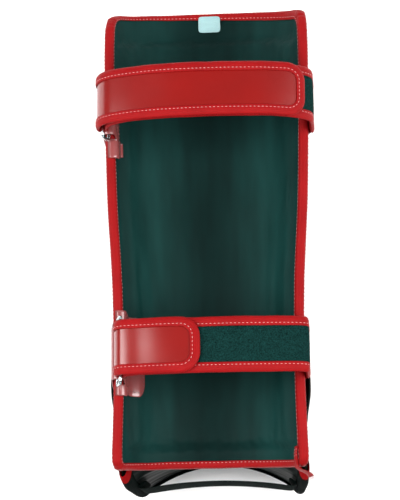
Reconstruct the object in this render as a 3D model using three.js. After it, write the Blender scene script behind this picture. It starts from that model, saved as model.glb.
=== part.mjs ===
// Shin and instep guard, lying on its front with the instep pad standing on its toe edge
// Millimetres, +Z up. Shin frame before it is leaned: x across, y from ankle to knee, z from front to leg
import * as THREE from 'three';
import { mergeVertices } from 'three/addons/utils/BufferGeometryUtils.js';

const { clamp, degToRad, lerp, smoothstep } = THREE.MathUtils;

// Gap between sewn or touching pieces
const clearance = 0.3;
// Gap under patches and tabs that follow a curved wall
const seatGap = 0.55;
// Gap between the board and its lining
const layerGap = 1;

// Shin part, a channel round the front of the leg
const shinLength = 433;
const rimWidth = 178;
const wallDepth = 56;
const kneeCrown = 18;
const ankleDip = 9;
const kneeCorner = 17;
const ankleCorner = 11;
const frontAngle = degToRad(30);
const sideAngle = degToRad(57);
const sideRadiusShare = 0.42;

// Shares of the rim width and the wall depth along the shin, flare opens the rim at the ankle
const shinSections = [
  { at: 0, width: 0.885, depth: 0.93, flare: 0.045 },
  { at: 0.17, width: 0.895, depth: 0.97, flare: 0.008 },
  { at: 0.36, width: 0.915, depth: 1, flare: 0 },
  { at: 0.56, width: 0.97, depth: 1, flare: 0 },
  { at: 0.85, width: 1, depth: 1, flare: 0 },
  { at: 1, width: 0.985, depth: 0.98, flare: 0 },
];

// Padding of the front and cushion of the lining
const boardEdge = 2.6;
const frontPadding = 14;
const paddingRise = 36;
const liningEdge = 1.2;
const cushionHeight = 8;
const cushionRise = 10;
const cushionCorner = 14;
const sideMargin = 13;
const kneeMargin = 25;
const ankleMargin = 14;

// Tape folded round the edges
const tapeThickness = 1;
const tapeWidth = 8;
const tapeRound = 1.4;
// Free strip beside the tape before the padding rises
const besideTape = 1.5;
// Room in the fold of the tape on the curved edges of the shin part and of the instep pad
const shinEase = 0.55;
const instepEase = 1.4;

// Instep pad, a collar outside the ankle end, a bend and a saddle
const collarTop = 86;
const bendStart = 35;
const bendRadius = 17;
const bendAngle = degToRad(93);
const instepLength = 80;
const instepEdge = 4;
const instepPadding = 8;
const instepCorner = 26;
const toeTaper = 0.1;
const instepTapeStart = 10;
const instepTrim = 0.7;
// Distance of the collar from the shell, and how much more it stands out over the straps' anchors
const collarStand = 1.3;
const collarEase = 0.8;
const patchShare = { from: 0.5, to: 0.62 };
const patchRise = { from: 3, to: 19 };

// Shares of the half girth along the instep pad, from the toe edge to the collar's top
const instepSections = [
  { at: 0, girth: 0.71 },
  { at: 0.3, girth: 0.72 },
  { at: 0.55, girth: 0.72 },
  { at: 0.64, girth: 0.8 },
  { at: 0.72, girth: 0.885 },
  { at: 1, girth: 0.885 },
];

// Elastic band across the foot opening
const bandWidth = 40;
const bandThickness = 1.4;
const bandSlack = -7;
const bandFromToe = 34;
const bandSewn = 12;
const bandInset = 1.5;
const bandEase = 0.2;

// Straps
const strapWidth = 50;
const strapCore = 1.6;
const strapTapeWidth = 7.5;
const strapTip = 16;
const strapEase = 0.25;
const archRoundness = 0.82;
const fastenerThickness = 0.85;
const fastenerStart = 1;
const hookLength = 70;
const anchorLength = 34;
const anchorWidth = 72;
const anchorThickness = 1.6;
const anchorSlope = 3;
const anchorBelow = 9;
const anchorRoom = 0.8;

// Rings and the tabs that hold them
const wire = 3.5;
const ringInside = 57;
const ringCorner = 4;
const tabWidth = 73;
const tabThickness = 1.8;
const tabOuterReach = 30;
const tabCorner = 9;
const barRoom = 0.9;

// One row for each strap: place up the shin, rise over the fold, fold, reach of the flap and of the inner tab
const straps = [
  { name: 'upper', centre: 322, rise: 32, foldOut: 4, foldUp: 15, flapReach: 0.85, tabReach: 13 },
  { name: 'lower', centre: 94, rise: 10, foldOut: -4, foldUp: 15, flapReach: 0.46, tabReach: 34 },
];

// Plain tag at the knee end
const labelWidth = 21;
const labelLength = 18;
const labelThickness = 0.8;
const labelStep = { from: 1, to: 4 };

// Colours and finishes
const finishes = {
  red: { color: 0xb01018, roughness: 0.35, metalness: 0 },
  lining: { color: 0x16302e, roughness: 0.6, metalness: 0 },
  tape: { color: 0xc41a20, roughness: 0.6, metalness: 0 },
  black: { color: 0x0c1312, roughness: 0.7, metalness: 0 },
  fastener: { color: 0x1c3432, roughness: 0.95, metalness: 0 },
  steel: { color: 0xb8c4c6, roughness: 0.25, metalness: 1 },
  label: { color: 0xd8e6e8, roughness: 0.6, metalness: 0 },
};

// Smooth value of a table's column at a share of the length
function column(table, name, at) {
  const last = table.length - 1;
  const next = table.findIndex((row) => row.at > at);
  const i = next < 0 ? last : Math.max(next, 1);
  const from = table[i - 1];
  const to = table[i];
  const before = table[Math.max(i - 2, 0)];
  const after = table[Math.min(i + 1, last)];
  const span = to.at - from.at;
  const t = clamp((at - from.at) / span, 0, 1);
  const slopeIn = (to[name] - before[name]) / (to.at - before.at) * span;
  const slopeOut = (after[name] - from[name]) / (after.at - from.at) * span;
  const curve = from[name] * (2 * t ** 3 - 3 * t ** 2 + 1) + to[name] * (3 * t ** 2 - 2 * t ** 3);
  return curve + slopeIn * (t ** 3 - 2 * t ** 2 + t) + slopeOut * (t ** 3 - t ** 2);
}

// Channel section: a wide front arc that turns into a tighter side arc, scaled to 1 at the rim
function arcs(front, side) {
  const across = Math.sin(front) + sideRadiusShare * (Math.sin(front + side) - Math.sin(front));
  const depth = 1 - Math.cos(front) + sideRadiusShare * (Math.cos(front) - Math.cos(front + side));
  return { across, depth };
}
const rimArcs = arcs(frontAngle, sideAngle);
const arcGirth = frontAngle + sideRadiusShare * sideAngle;

function section(share) {
  const arc = Math.abs(share) * arcGirth;
  const front = Math.min(arc, frontAngle);
  const here = arcs(front, (arc - front) / sideRadiusShare);
  return { across: Math.sign(share) * here.across / rimArcs.across, depth: here.depth / rimArcs.depth };
}

// Middle surface of the shin part, share from -1 at the left rim to 1 at the right rim
function shinSurface(share, along) {
  const at = along / shinLength;
  const here = section(share);
  const half = rimWidth / 2 * column(shinSections, 'width', at);
  const open = 1 + column(shinSections, 'flare', at) * here.depth ** 2;
  const deep = wallDepth * column(shinSections, 'depth', at);
  return new THREE.Vector3(half * here.across * open, along, deep * here.depth);
}

// Half girth of the channel at mid length
function measureHalfGirth() {
  const steps = 40;
  let girth = 0;
  for (let i = 0; i < steps; i++) {
    const from = shinSurface(i / steps, shinLength / 2);
    girth += from.distanceTo(shinSurface((i + 1) / steps, shinLength / 2));
  }
  return girth;
}
const halfGirth = measureHalfGirth();

function normalAt(surface, share, along) {
  const step = 0.002;
  const across = surface(share + step, along).sub(surface(share - step, along));
  const up = surface(share, along + 1).sub(surface(share, along - 1));
  return across.cross(up).normalize();
}

function offset(surface, share, along, height) {
  return surface(share, along).addScaledVector(normalAt(surface, share, along), height);
}

// Outline of the shin part in its flat pattern
const kneeEnd = (share) => shinLength - kneeCrown * share ** 2;
const ankleEnd = (share) => -ankleDip * share ** 2;

function cornerInset(distance, radius) {
  return distance < radius ? radius - Math.sqrt(radius ** 2 - (radius - distance) ** 2) : 0;
}

// Distance inside a rounded outline that keeps a margin to each edge of the shin part
function insideMargins(share, along, side, ankle, knee, corner) {
  const low = ankleEnd(share) + ankle;
  const high = kneeEnd(share) - knee;
  const x = Math.abs(share) * halfGirth - (halfGirth - side - corner);
  const y = Math.abs(along - (low + high) / 2) - ((high - low) / 2 - corner);
  return corner - Math.hypot(Math.max(x, 0), Math.max(y, 0)) - Math.min(Math.max(x, y), 0);
}

// Heights of the lining's face and the padded front from the middle surface
const halfGap = layerGap / 2;

function liningTop(share, along) {
  const inside = insideMargins(share, along, sideMargin, ankleMargin, kneeMargin, cushionCorner);
  return halfGap + liningEdge + cushionHeight * smoothstep(inside, 0, cushionRise);
}

function frontHeight(share, along) {
  const free = tapeWidth + besideTape;
  const inside = insideMargins(share, along, free, free, free, kneeCorner);
  return halfGap + boardEdge + frontPadding * smoothstep(inside, 0, paddingRise);
}

// Patterns of lines over the square from the left rim to the right and from the ankle to the knee
function edgeStops(insets, total, middle) {
  const shares = insets.map((inset) => inset / total);
  const first = shares[shares.length - 1];
  const between = Array.from({ length: middle }, (_, i) => lerp(first, 1 - first, (i + 1) / (middle + 1)));
  return [...shares, ...between, ...shares.map((share) => 1 - share).reverse()];
}

// Place in the flat pattern for a column from -1 to 1 and a row from 0 to 1
function shinPattern(a, b) {
  const fromAnkle = b * shinLength;
  const fromKnee = shinLength - fromAnkle;
  const inset = cornerInset(fromAnkle, ankleCorner) + cornerInset(fromKnee, kneeCorner);
  const share = a * (1 - inset / halfGirth);
  return { share, along: lerp(ankleEnd(share), kneeEnd(share), b) };
}

// Closed solid with its faces pointing out
function closed(geometry) {
  geometry.deleteAttribute('normal');
  geometry.deleteAttribute('uv');
  const merged = mergeVertices(geometry, 1e-3);
  const index = merged.getIndex();
  const position = merged.getAttribute('position');
  const corner = (i) => new THREE.Vector3().fromBufferAttribute(position, index.getX(i));
  let volume = 0;
  for (let i = 0; i < index.count; i += 3) {
    volume += corner(i).dot(corner(i + 1).cross(corner(i + 2)));
  }
  if (volume < 0) {
    index.array.reverse();
  }
  merged.computeVertexNormals();
  return merged;
}

// Board between two faces, worked out at each crossing of its columns and rows
function board(columns, rows, place) {
  const geometry = new THREE.BoxGeometry(1, 1, 1, columns.length - 1, rows.length - 1, 1);
  const position = geometry.getAttribute('position');
  for (let i = 0; i < position.count; i++) {
    const a = columns[Math.round((position.getX(i) + 0.5) * (columns.length - 1))];
    const b = rows[Math.round((position.getY(i) + 0.5) * (rows.length - 1))];
    const point = place(a, b, position.getZ(i) > 0);
    position.setXYZ(i, point.x, point.y, point.z);
  }
  return closed(geometry);
}

// Section of the folded tape: out from the edge and up from the middle surface
function tapeProfile(low, high, width, round) {
  const floor = low - clearance;
  const roof = high + clearance;
  const side = clearance;
  const face = side + tapeThickness;
  const corners = round > 0
    ? [[face - round, floor - tapeThickness], [face, floor - tapeThickness + round],
      [face, roof + tapeThickness - round], [face - round, roof + tapeThickness]]
    : [[face, floor - tapeThickness], [face, roof + tapeThickness]];
  const cap = [-width, roof + tapeThickness];
  const inner = [cap, [-width, roof], [side, roof], [side, floor], [-width, floor]];
  return [[-width, floor - tapeThickness], ...corners, ...inner].map(([x, y]) => new THREE.Vector2(x, y));
}

// Outward direction in the flat pattern at each point of an outline
function outwards(outline, isLoop) {
  const count = outline.length;
  return outline.map((point, i) => {
    const before = outline[isLoop ? (i + count - 1) % count : Math.max(i - 1, 0)];
    const after = outline[isLoop ? (i + 1) % count : Math.min(i + 1, count - 1)];
    const arrive = new THREE.Vector2().subVectors(point, before).normalize();
    const leave = new THREE.Vector2().subVectors(after, point).normalize();
    const way = arrive.add(leave).normalize();
    return new THREE.Vector2(way.y, -way.x);
  });
}

// Tape round a whole outline
function tapeLoop(outline, profile, place) {
  const out = outwards(outline, true);
  const geometry = new THREE.TorusGeometry(2, 1, profile.length, outline.length);
  const position = geometry.getAttribute('position');
  const uv = geometry.getAttribute('uv');
  for (let i = 0; i < position.count; i++) {
    const station = Math.round(uv.getX(i) * outline.length) % outline.length;
    const { x, y } = profile[Math.round(uv.getY(i) * profile.length) % profile.length];
    const point = place(outline[station].clone().addScaledVector(out[station], x), y);
    position.setXYZ(i, point.x, point.y, point.z);
  }
  return closed(geometry);
}

// Tape along an outline with two ends
function tapeRun(outline, profile, place) {
  const out = outwards(outline, false);
  const steps = outline.length - 1;
  const options = { steps, depth: steps, bevelEnabled: false };
  const geometry = new THREE.ExtrudeGeometry(new THREE.Shape(profile), options);
  const position = geometry.getAttribute('position');
  for (let i = 0; i < position.count; i++) {
    const station = Math.round(position.getZ(i));
    const flat = outline[station].clone().addScaledVector(out[station], position.getX(i));
    const point = place(flat, position.getY(i), station);
    position.setXYZ(i, point.x, point.y, point.z);
  }
  return closed(geometry);
}

// Shin part: the board and the lining share their lines, so that they meet all over
function shinStops(ankleInsets, kneeInsets, middle) {
  const low = ankleInsets.map((inset) => inset / shinLength);
  const high = kneeInsets.map((inset) => 1 - inset / shinLength).reverse();
  const from = low[low.length - 1];
  const between = Array.from({ length: middle }, (_, i) => lerp(from, high[0], (i + 1) / (middle + 1)));
  return [...low, ...between, ...high];
}
const toColumns = (stops) => stops.map((stop) => 2 * stop - 1);
const cushionInsets = (margin) => [0, cushionRise / 2, cushionRise, paddingRise].map((rise) => margin + rise);
const [cushionStart, cushionMiddle, cushionEnd, paddingEnd] = cushionInsets(sideMargin);
const paddingMiddle = cushionEnd + 11;
const cushionLines = [cushionStart, cushionMiddle, cushionEnd];
const sideInsets = [0, tapeWidth + besideTape, ...cushionLines, paddingMiddle, paddingEnd];
const cornerInsets = (corner) => [0, 0.3 * corner, corner];
const ankleInsets = [...cornerInsets(ankleCorner), ...cushionInsets(ankleMargin)];
const kneeInsets = [...cornerInsets(kneeCorner), ...cushionInsets(kneeMargin)];
const middleColumns = 7;
const middleRows = 5;
const shinColumns = toColumns(edgeStops(sideInsets, 2 * halfGirth, middleColumns));
const shinRows = shinStops(ankleInsets, kneeInsets, middleRows);

function makeShell() {
  return board(shinColumns, shinRows, (a, b, upper) => {
    const { share, along } = shinPattern(a, b);
    return offset(shinSurface, share, along, upper ? -halfGap : -frontHeight(share, along));
  });
}

function makeLining() {
  return board(shinColumns, shinRows, (a, b, upper) => {
    const { share, along } = shinPattern(a, b);
    return offset(shinSurface, share, along, upper ? liningTop(share, along) : halfGap);
  });
}

// Outline of a pattern, anticlockwise as seen from the leg, in millimetres of girth and length
function patternOutline(columns, rows, pattern) {
  const last = rows.length - 1;
  const flat = (a, b) => {
    const { share, along } = pattern(a, b);
    return new THREE.Vector2(share * halfGirth, along);
  };
  const ankle = columns.map((a) => flat(a, rows[0]));
  const right = rows.slice(1, last).map((b) => flat(1, b));
  const knee = columns.map((a) => flat(a, rows[last])).reverse();
  const left = rows.slice(1, last).map((b) => flat(-1, b)).reverse();
  return [...ankle, ...right, ...knee, ...left];
}

function makeEdgeBinding() {
  const outline = patternOutline(shinColumns, shinRows, shinPattern);
  const low = -halfGap - boardEdge - shinEase;
  const high = halfGap + liningEdge + shinEase;
  const profile = tapeProfile(low, high, tapeWidth, tapeRound);
  const place = (flat, height) => offset(shinSurface, flat.x / halfGirth, flat.y, height);
  return tapeLoop(outline, profile, place);
}

// Instep pad: along is 0 where the bend starts, positive up the collar and negative towards the toes
const collarLength = collarTop - bendStart;
const bendLength = bendRadius * bendAngle;
const padLength = collarLength + bendLength + instepLength;
const toeAlong = -(bendLength + instepLength);
// The collar lies over the strap anchors and ring tabs at the sides
function collarGap(share, along) {
  const aside = smoothstep(Math.abs(share), patchShare.from, patchShare.to);
  const up = smoothstep(along, bendStart + patchRise.from, bendStart + patchRise.to);
  return collarStand + aside * up * (strapCore + anchorThickness + clearance + collarEase);
}

function outerFace(share, along) {
  return offset(shinSurface, share, along, -frontHeight(share, along) - collarGap(share, along));
}
const bendAxis = outerFace(0, bendStart).z - bendRadius;
const toeWay = new THREE.Vector3(0, -Math.cos(bendAngle), -Math.sin(bendAngle));

function instepSurface(share, along) {
  if (along >= 0) {
    return outerFace(share, bendStart + along);
  }
  const start = outerFace(share, bendStart);
  const turn = Math.min(-along / bendRadius, bendAngle);
  const straight = Math.max(-along - bendLength, 0);
  const reach = start.z - bendAxis;
  const narrow = 1 - toeTaper * straight / instepLength;
  const y = bendStart - reach * Math.sin(turn);
  const z = bendAxis + reach * Math.cos(turn);
  return new THREE.Vector3(start.x * narrow, y, z).addScaledVector(toeWay, straight);
}

// Resting lean: the line from the toe edge that just touches the padded front or the tape at its knee end
const toeOut = clearance + tapeThickness;
const toeFront = instepEdge + instepEase + clearance + tapeThickness;
const toePoint = offset(instepSurface, 0, toeAlong, -toeFront).addScaledVector(toeWay, toeOut);
const leanTo = (y, z) => Math.atan2(z - toePoint.z, y - toePoint.y);
const frontLines = shinRows.map((row) => row * shinLength).filter((along) => along > shinLength / 2);
const touching = frontLines.map((along) => leanTo(along, shinSurface(0, along).z - frontHeight(0, along)));
const tapeFront = halfGap + boardEdge + shinEase + clearance + tapeThickness;
const tapeCorner = shinLength + clearance + tapeThickness - tapeRound;
const lean = Math.min(...touching, leanTo(tapeCorner, -tapeFront));

// How much further the toe edge reaches where the saddle stands away from its middle
const floorWay = new THREE.Vector3(0, -Math.sin(lean), Math.cos(lean));
const floorLevel = toePoint.dot(floorWay);

function toeEnd(share) {
  const above = instepSurface(share, toeAlong).sub(instepSurface(0, toeAlong)).dot(floorWay);
  return toeAlong + above / toeWay.dot(floorWay);
}

function instepPattern(a, b) {
  const fromToe = b * padLength;
  const inset = cornerInset(fromToe, instepCorner) + cornerInset(padLength - fromToe, ankleCorner);
  const share = a * (column(instepSections, 'girth', b) - inset / halfGirth);
  return { share, along: lerp(toeEnd(share), collarLength, b) };
}

// Lines of the instep pad, closer at its corners and through its bend
const toeRows = [0, 0.05, 0.15, 0.35, 0.65, 1].map((part) => part * instepCorner / padLength);
const collarRows = [1, 0.3, 0].map((part) => 1 - part * ankleCorner / padLength);
const bendRows = [0.32, 0.45, 0.53, 0.57, 0.61, 0.65, 0.69, 0.74, 0.83];
const instepRows = [...toeRows, ...bendRows, ...collarRows];
const instepColumns = toColumns([0, 0.055, 0.13, 0.22, 0.35, 0.5, 0.65, 0.78, 0.87, 0.945, 1]);

// Outer height of the instep pad: thin at its edges and on the collar, full over the instep
const puff = { sideFrom: 0.11, sideTo: 0.5, toeTo: 0.25, collarFrom: 0.5, collarTo: 0.66 };

function instepHeight(a, b) {
  const side = smoothstep(1 - Math.abs(a), puff.sideFrom, puff.sideTo);
  const toe = smoothstep(b, (tapeWidth + besideTape) / padLength, puff.toeTo);
  const collar = 1 - smoothstep(b, puff.collarFrom, puff.collarTo);
  return instepEdge + instepPadding * side * toe * collar;
}

function makeInstepPad() {
  const trim = 1 - instepTrim / halfGirth;
  return board(instepColumns, instepRows, (a, b, upper) => {
    const { share, along } = instepPattern(a * trim, lerp(1, b, trim));
    return offset(instepSurface, share, along, upper ? 0 : -instepHeight(a, b));
  });
}

// The tape of the instep pad is pressed flat on the toe edge where it stands on the surface
function makeInstepBinding() {
  const whole = patternOutline(instepColumns, instepRows, instepPattern);
  const low = -instepTapeStart;
  const right = whole.filter((flat, i) => i < whole.length / 2 && flat.y < low);
  const left = whole.filter((flat, i) => i > whole.length / 2 && flat.y < low);
  const outline = [...left, ...right];
  const toeFrom = left.length;
  const toeTo = toeFrom + instepColumns.length - 1;
  const profile = tapeProfile(-instepEdge - instepEase, instepEase, tapeWidth, 0);
  return tapeRun(outline, profile, (flat, height, station) => {
    const point = offset(instepSurface, flat.x / halfGirth, flat.y, height);
    const drop = point.dot(floorWay) - floorLevel;
    const onToe = station > toeFrom && station < toeTo;
    const outside = outline[station].y - flat.y > clearance + tapeThickness / 4;
    return onToe && outside ? point.addScaledVector(toeWay, drop / -toeWay.dot(floorWay)) : point;
  });
}

// Elastic band between the walls of the saddle: its ends are sewn down, its middle bows out
function makeSoleBand() {
  const low = toeAlong + bandFromToe;
  const spans = 9;
  const sewnShare = bandSewn / halfGirth;
  const girth = (along) => column(instepSections, 'girth', (along - toeAlong) / padLength);
  const edge = (along) => girth(along) - bandInset / halfGirth;
  const lift = instepEase + clearance * 2 + tapeThickness + bandThickness / 2 + bandEase;
  const free = Array.from({ length: spans }, (_, i) => i + 1);
  const stations = [-1, -0.5, 0, ...free, spans + 1, spans + 1.5, spans + 2];
  return board(stations, [0, 0.5, 1], (a, b, upper) => {
    const along = low + bandWidth * b;
    const side = upper ? bandThickness / 2 : -bandThickness / 2;
    if (a <= 0 || a > spans) {
      const into = a <= 0 ? -a : a - spans - 1;
      const share = (edge(along) - sewnShare * into) * (a <= 0 ? -1 : 1);
      return offset(instepSurface, share, along, lift + side);
    }
    const t = a / (spans + 1);
    const left = offset(instepSurface, -edge(along), along, lift);
    const right = offset(instepSurface, edge(along), along, lift);
    const out = normalAt(instepSurface, 0, along);
    const bulge = bandSlack * 4 * t * (1 - t);
    return left.lerp(right, t).addScaledVector(out, bulge + side);
  });
}

// Ring tab: down the outer wall, over the ring's bar and down the lining
const tapeInner = halfGap + liningEdge + shinEase + clearance + tapeThickness;
const tabOut = tapeFront + seatGap + tabThickness / 2;
const tabIn = tapeInner + seatGap + tabThickness / 2;
const tabLoop = (tabOut + tabIn) / 2;
const tabShift = (tabOut - tabIn) / 2;
const rimTop = clearance + tapeThickness;
const barHeight = rimTop + clearance + wire / 2 + barRoom;
const loopHeight = barHeight + wire / 2 + clearance + tabThickness / 2 - tabLoop;

function tabStations(strap) {
  const wall = (reach, side) => (along) => {
    const share = -1 + reach / halfGirth;
    const taped = 1 - smoothstep(reach, tapeWidth + 2, tapeWidth + 6);
    const face = side < 0 ? frontHeight(share, along) : liningTop(share, along);
    const plain = face + seatGap + tabThickness / 2;
    const height = Math.max(plain, lerp(plain, side < 0 ? tabOut : tabIn, taped));
    const normal = normalAt(shinSurface, share, along).multiplyScalar(side);
    return { point: shinSurface(share, along).addScaledVector(normal, height), normal };
  };
  const rim = shinSurface(-1, strap.centre);
  const loop = (angle) => (along) => {
    const normal = new THREE.Vector3(-Math.cos(angle), 0, Math.sin(angle));
    const centre = new THREE.Vector3(rim.x - tabShift, along, rim.z + loopHeight);
    return { point: centre.addScaledVector(normal, tabLoop), normal };
  };
  const lines = [5, 11, 18, 23, 28, 34];
  const outer = [tabOuterReach, tabOuterReach * 0.85, ...lines.slice(0, 3).reverse()];
  const inner = [...lines.filter((reach) => reach < strap.tabReach), strap.tabReach];
  const turns = [0, 0.2, 0.4, 0.6, 0.8, 1].map((part) => part * Math.PI);
  const widths = (reach, limit) => {
    const flare = lerp(strapWidth - 1, tabWidth, smoothstep(reach, 1, tabCorner));
    return flare - 2 * cornerInset(limit - reach, tabCorner);
  };
  return [
    ...outer.map((reach) => ({ at: wall(reach, -1), width: widths(reach, tabOuterReach) })),
    ...turns.map((angle) => ({ at: loop(angle), width: strapWidth - 1 })),
    ...inner.map((reach) => ({ at: wall(reach, 1), width: widths(reach, strap.tabReach) })),
  ];
}

function makeRingTab(strap) {
  const stations = tabStations(strap);
  const rows = stations.map((_, i) => i);
  return board([-0.5, -0.36, 0, 0.36, 0.5], rows, (a, b, upper) => {
    const station = stations[b];
    const { point, normal } = station.at(strap.centre + a * station.width);
    return point.addScaledVector(normal, (upper ? 1 : -1) * tabThickness / 2);
  });
}

// Ring: a rounded rectangle of wire from the bar in the tab to the bar in the strap's fold
function ringBars(strap) {
  const rim = shinSurface(-1, strap.centre);
  const tab = new THREE.Vector3(rim.x - tabShift, strap.centre, rim.z + barHeight);
  const fold = new THREE.Vector3(tab.x - strap.foldOut, strap.centre, tab.z + strap.foldUp);
  return { tab, fold };
}

function makeRing(strap) {
  const { tab, fold } = ringBars(strap);
  const rise = fold.clone().sub(tab);
  const half = (ringInside + wire) / 2;
  const height = rise.length();
  const cornerSteps = 4;
  const path = [];
  const corners = [[half, 0], [half, height], [-half, height], [-half, 0]];
  corners.forEach(([x, y], corner) => {
    const cx = x - Math.sign(x) * ringCorner;
    const cy = y === 0 ? ringCorner : height - ringCorner;
    for (let i = 0; i <= cornerSteps; i++) {
      const angle = (corner - 1 + i / cornerSteps) * Math.PI / 2;
      path.push(new THREE.Vector2(cx + ringCorner * Math.cos(angle), cy + ringCorner * Math.sin(angle)));
    }
  });
  const sides = 8;
  const up = rise.normalize();
  const side = new THREE.Vector3(0, 1, 0);
  const face = side.clone().cross(up);
  const round = Array.from({ length: sides }, (_, i) => {
    const angle = i / sides * 2 * Math.PI;
    return new THREE.Vector2(Math.cos(angle), Math.sin(angle)).multiplyScalar(wire / 2);
  });
  return tapeLoop(path, round, (flat, height) => {
    const inPlane = tab.clone().addScaledVector(side, flat.x).addScaledVector(up, flat.y);
    return inPlane.addScaledVector(face, height);
  });
}

// Distances from the rim of the lines that a strap's end and its anchor share
const anchorTop = tapeWidth + 9;
const anchorReaches = [anchorLength, (anchorLength + anchorTop) / 2, anchorTop];

// Strap: up the right wall, over the leg, round the ring's bar and back
const coreWidth = strapWidth - 2 * (clearance + tapeThickness);
const tapeHalf = strapCore / 2 + strapEase + tapeThickness;
const layerStep = 2 * tapeHalf + clearance;
const foldRadius = wire / 2 + clearance + tapeHalf;
const archSteps = 13;
const hairpinSteps = 6;

function strapStations(strap) {
  const { fold } = ringBars(strap);
  const spread = [-strapWidth / 2, 0, strapWidth / 2].map((y) => shinSurface(1, strap.centre + y));
  const rimX = Math.max(...spread.map((point) => point.x)) + tapeFront + clearance + tapeHalf;
  const rimZ = shinSurface(1, strap.centre).z;
  const leftX = fold.x + foldRadius;
  const middle = (rimX + leftX) / 2;
  const halfSpan = (rimX - leftX) / 2;
  const flat = ({ x, z, nx, nz }) => (along) => {
    return { point: new THREE.Vector3(x, along, z), normal: new THREE.Vector3(nx, 0, nz) };
  };
  const wall = (reach) => (along) => {
    const share = 1 - reach / halfGirth;
    const normal = normalAt(shinSurface, share, along).negate();
    const height = frontHeight(share, along) + seatGap + strapCore / 2;
    return { point: shinSurface(share, along).addScaledVector(normal, height), normal };
  };
  const arch = Array.from({ length: archSteps + 1 }, (_, i) => {
    const angle = i / archSteps * Math.PI;
    const c = Math.cos(angle);
    const s = Math.sin(angle);
    const x = halfSpan * Math.sign(c) * Math.abs(c) ** archRoundness;
    const z = strap.rise * s ** archRoundness;
    const nx = Math.sign(c) * Math.abs(c) ** (2 - archRoundness) / halfSpan;
    const nz = s ** (2 - archRoundness) / strap.rise;
    const normal = new THREE.Vector2(nx, nz).normalize();
    return { x: middle + x, z: fold.z + z, nx: normal.x, nz: normal.y };
  });
  const hairpin = Array.from({ length: hairpinSteps - 1 }, (_, i) => {
    const angle = -(i + 1) / hairpinSteps * Math.PI;
    const nx = -Math.cos(angle);
    const nz = -Math.sin(angle);
    return { x: fold.x - foldRadius * nx, z: fold.z - foldRadius * nz, nx, nz };
  });
  const lastFlap = Math.round(archSteps * strap.flapReach);
  const flap = arch.slice(archSteps - lastFlap).reverse().map((point, i) => {
    const gap = lerp(2 * foldRadius, layerStep, smoothstep(i, 0, 3));
    return { x: point.x + point.nx * gap, z: point.z + point.nz * gap, nx: -point.nx, nz: -point.nz };
  });
  const wallPart = anchorReaches.map(wall);
  const heights = [rimZ - 0.75 * tapeWidth, (rimZ + fold.z) / 2];
  const upright = heights.map((z) => flat({ x: rimX, z, nx: 1, nz: 0 }));
  const list = [...wallPart, ...upright, ...[...arch, ...hairpin, ...flap].map(flat)];
  const tapeFrom = wallPart.length;
  return { list, tapeFrom, foldAt: tapeFrom + upright.length + archSteps };
}

// Strap as a sheet: length along its stations, y across and height from its middle
function strapSheet(strap) {
  const { list, tapeFrom, foldAt } = strapStations(strap);
  const stops = [0];
  list.forEach((station, i) => {
    if (i > 0) {
      stops.push(stops[i - 1] + station(strap.centre).point.distanceTo(list[i - 1](strap.centre).point));
    }
  });
  const last = stops.length - 1;
  const place = (length, across, height) => {
    const next = clamp(stops.findIndex((stop) => stop >= length - 1e-6), 1, last);
    const i = length > stops[last] ? last : next;
    const t = (length - stops[i - 1]) / (stops[i] - stops[i - 1]);
    const from = list[i - 1](strap.centre + across);
    const to = list[i](strap.centre + across);
    const normal = from.normal.lerp(to.normal, clamp(t, 0, 1)).normalize();
    return from.point.lerp(to.point, t).addScaledVector(normal, height);
  };
  return { stops, place, tapeFrom, foldAt };
}

function strapOutline(sheet, from) {
  const end = sheet.stops[sheet.stops.length - 1];
  const body = sheet.stops.filter((stop, i) => i >= from && stop < end - strapTip * 1.15);
  const tip = [1, 0.6, 0.28, 0.08, 0].map((part) => end - strapTip * part);
  const half = (length) => coreWidth / 2 - cornerInset(end - length, strapTip);
  return [...body, ...tip].map((length) => ({ length, half: half(length) }));
}

function makeStrap(strap) {
  const sheet = strapSheet(strap);
  const outline = strapOutline(sheet, 0);
  return board([-1, 0, 1], outline.map((_, i) => i), (a, b, upper) => {
    const { length, half } = outline[b];
    return sheet.place(length, a * half, (upper ? 1 : -1) * strapCore / 2);
  });
}

function makeStrapBinding(strap) {
  const sheet = strapSheet(strap);
  const rows = strapOutline(sheet, sheet.tapeFrom);
  const left = rows.map(({ length, half }) => new THREE.Vector2(length, -half));
  const right = rows.map(({ length, half }) => new THREE.Vector2(length, half)).reverse();
  const inside = strapCore / 2 + strapEase - clearance;
  const profile = tapeProfile(-inside, inside, strapTapeWidth, 0);
  return tapeRun([...left, ...right], profile, (flat, height) => sheet.place(flat.x, flat.y, height));
}

// Fastening tapes lie on the strap between its bindings
function fastener(sheet, from, to, half) {
  const inside = sheet.stops.filter((stop) => stop > from + 1 && stop < to - 1);
  const low = strapCore / 2 + clearance;
  return board([-half, half], [from, ...inside, to], (across, length, upper) =>
    sheet.place(length, across, upper ? low + fastenerThickness : low));
}

const fastenerHalf = coreWidth / 2 - strapTapeWidth - clearance;

function makeLoopTape(strap) {
  const sheet = strapSheet(strap);
  const from = sheet.stops[sheet.tapeFrom] + fastenerStart;
  return fastener(sheet, from, sheet.stops[sheet.foldAt - 2], fastenerHalf);
}

function makeHookTape(strap) {
  const sheet = strapSheet(strap);
  const end = sheet.stops[sheet.stops.length - 1] - 1.2 * strapTip;
  return fastener(sheet, end - hookLength, end, fastenerHalf - strapTip / 3);
}

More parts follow.
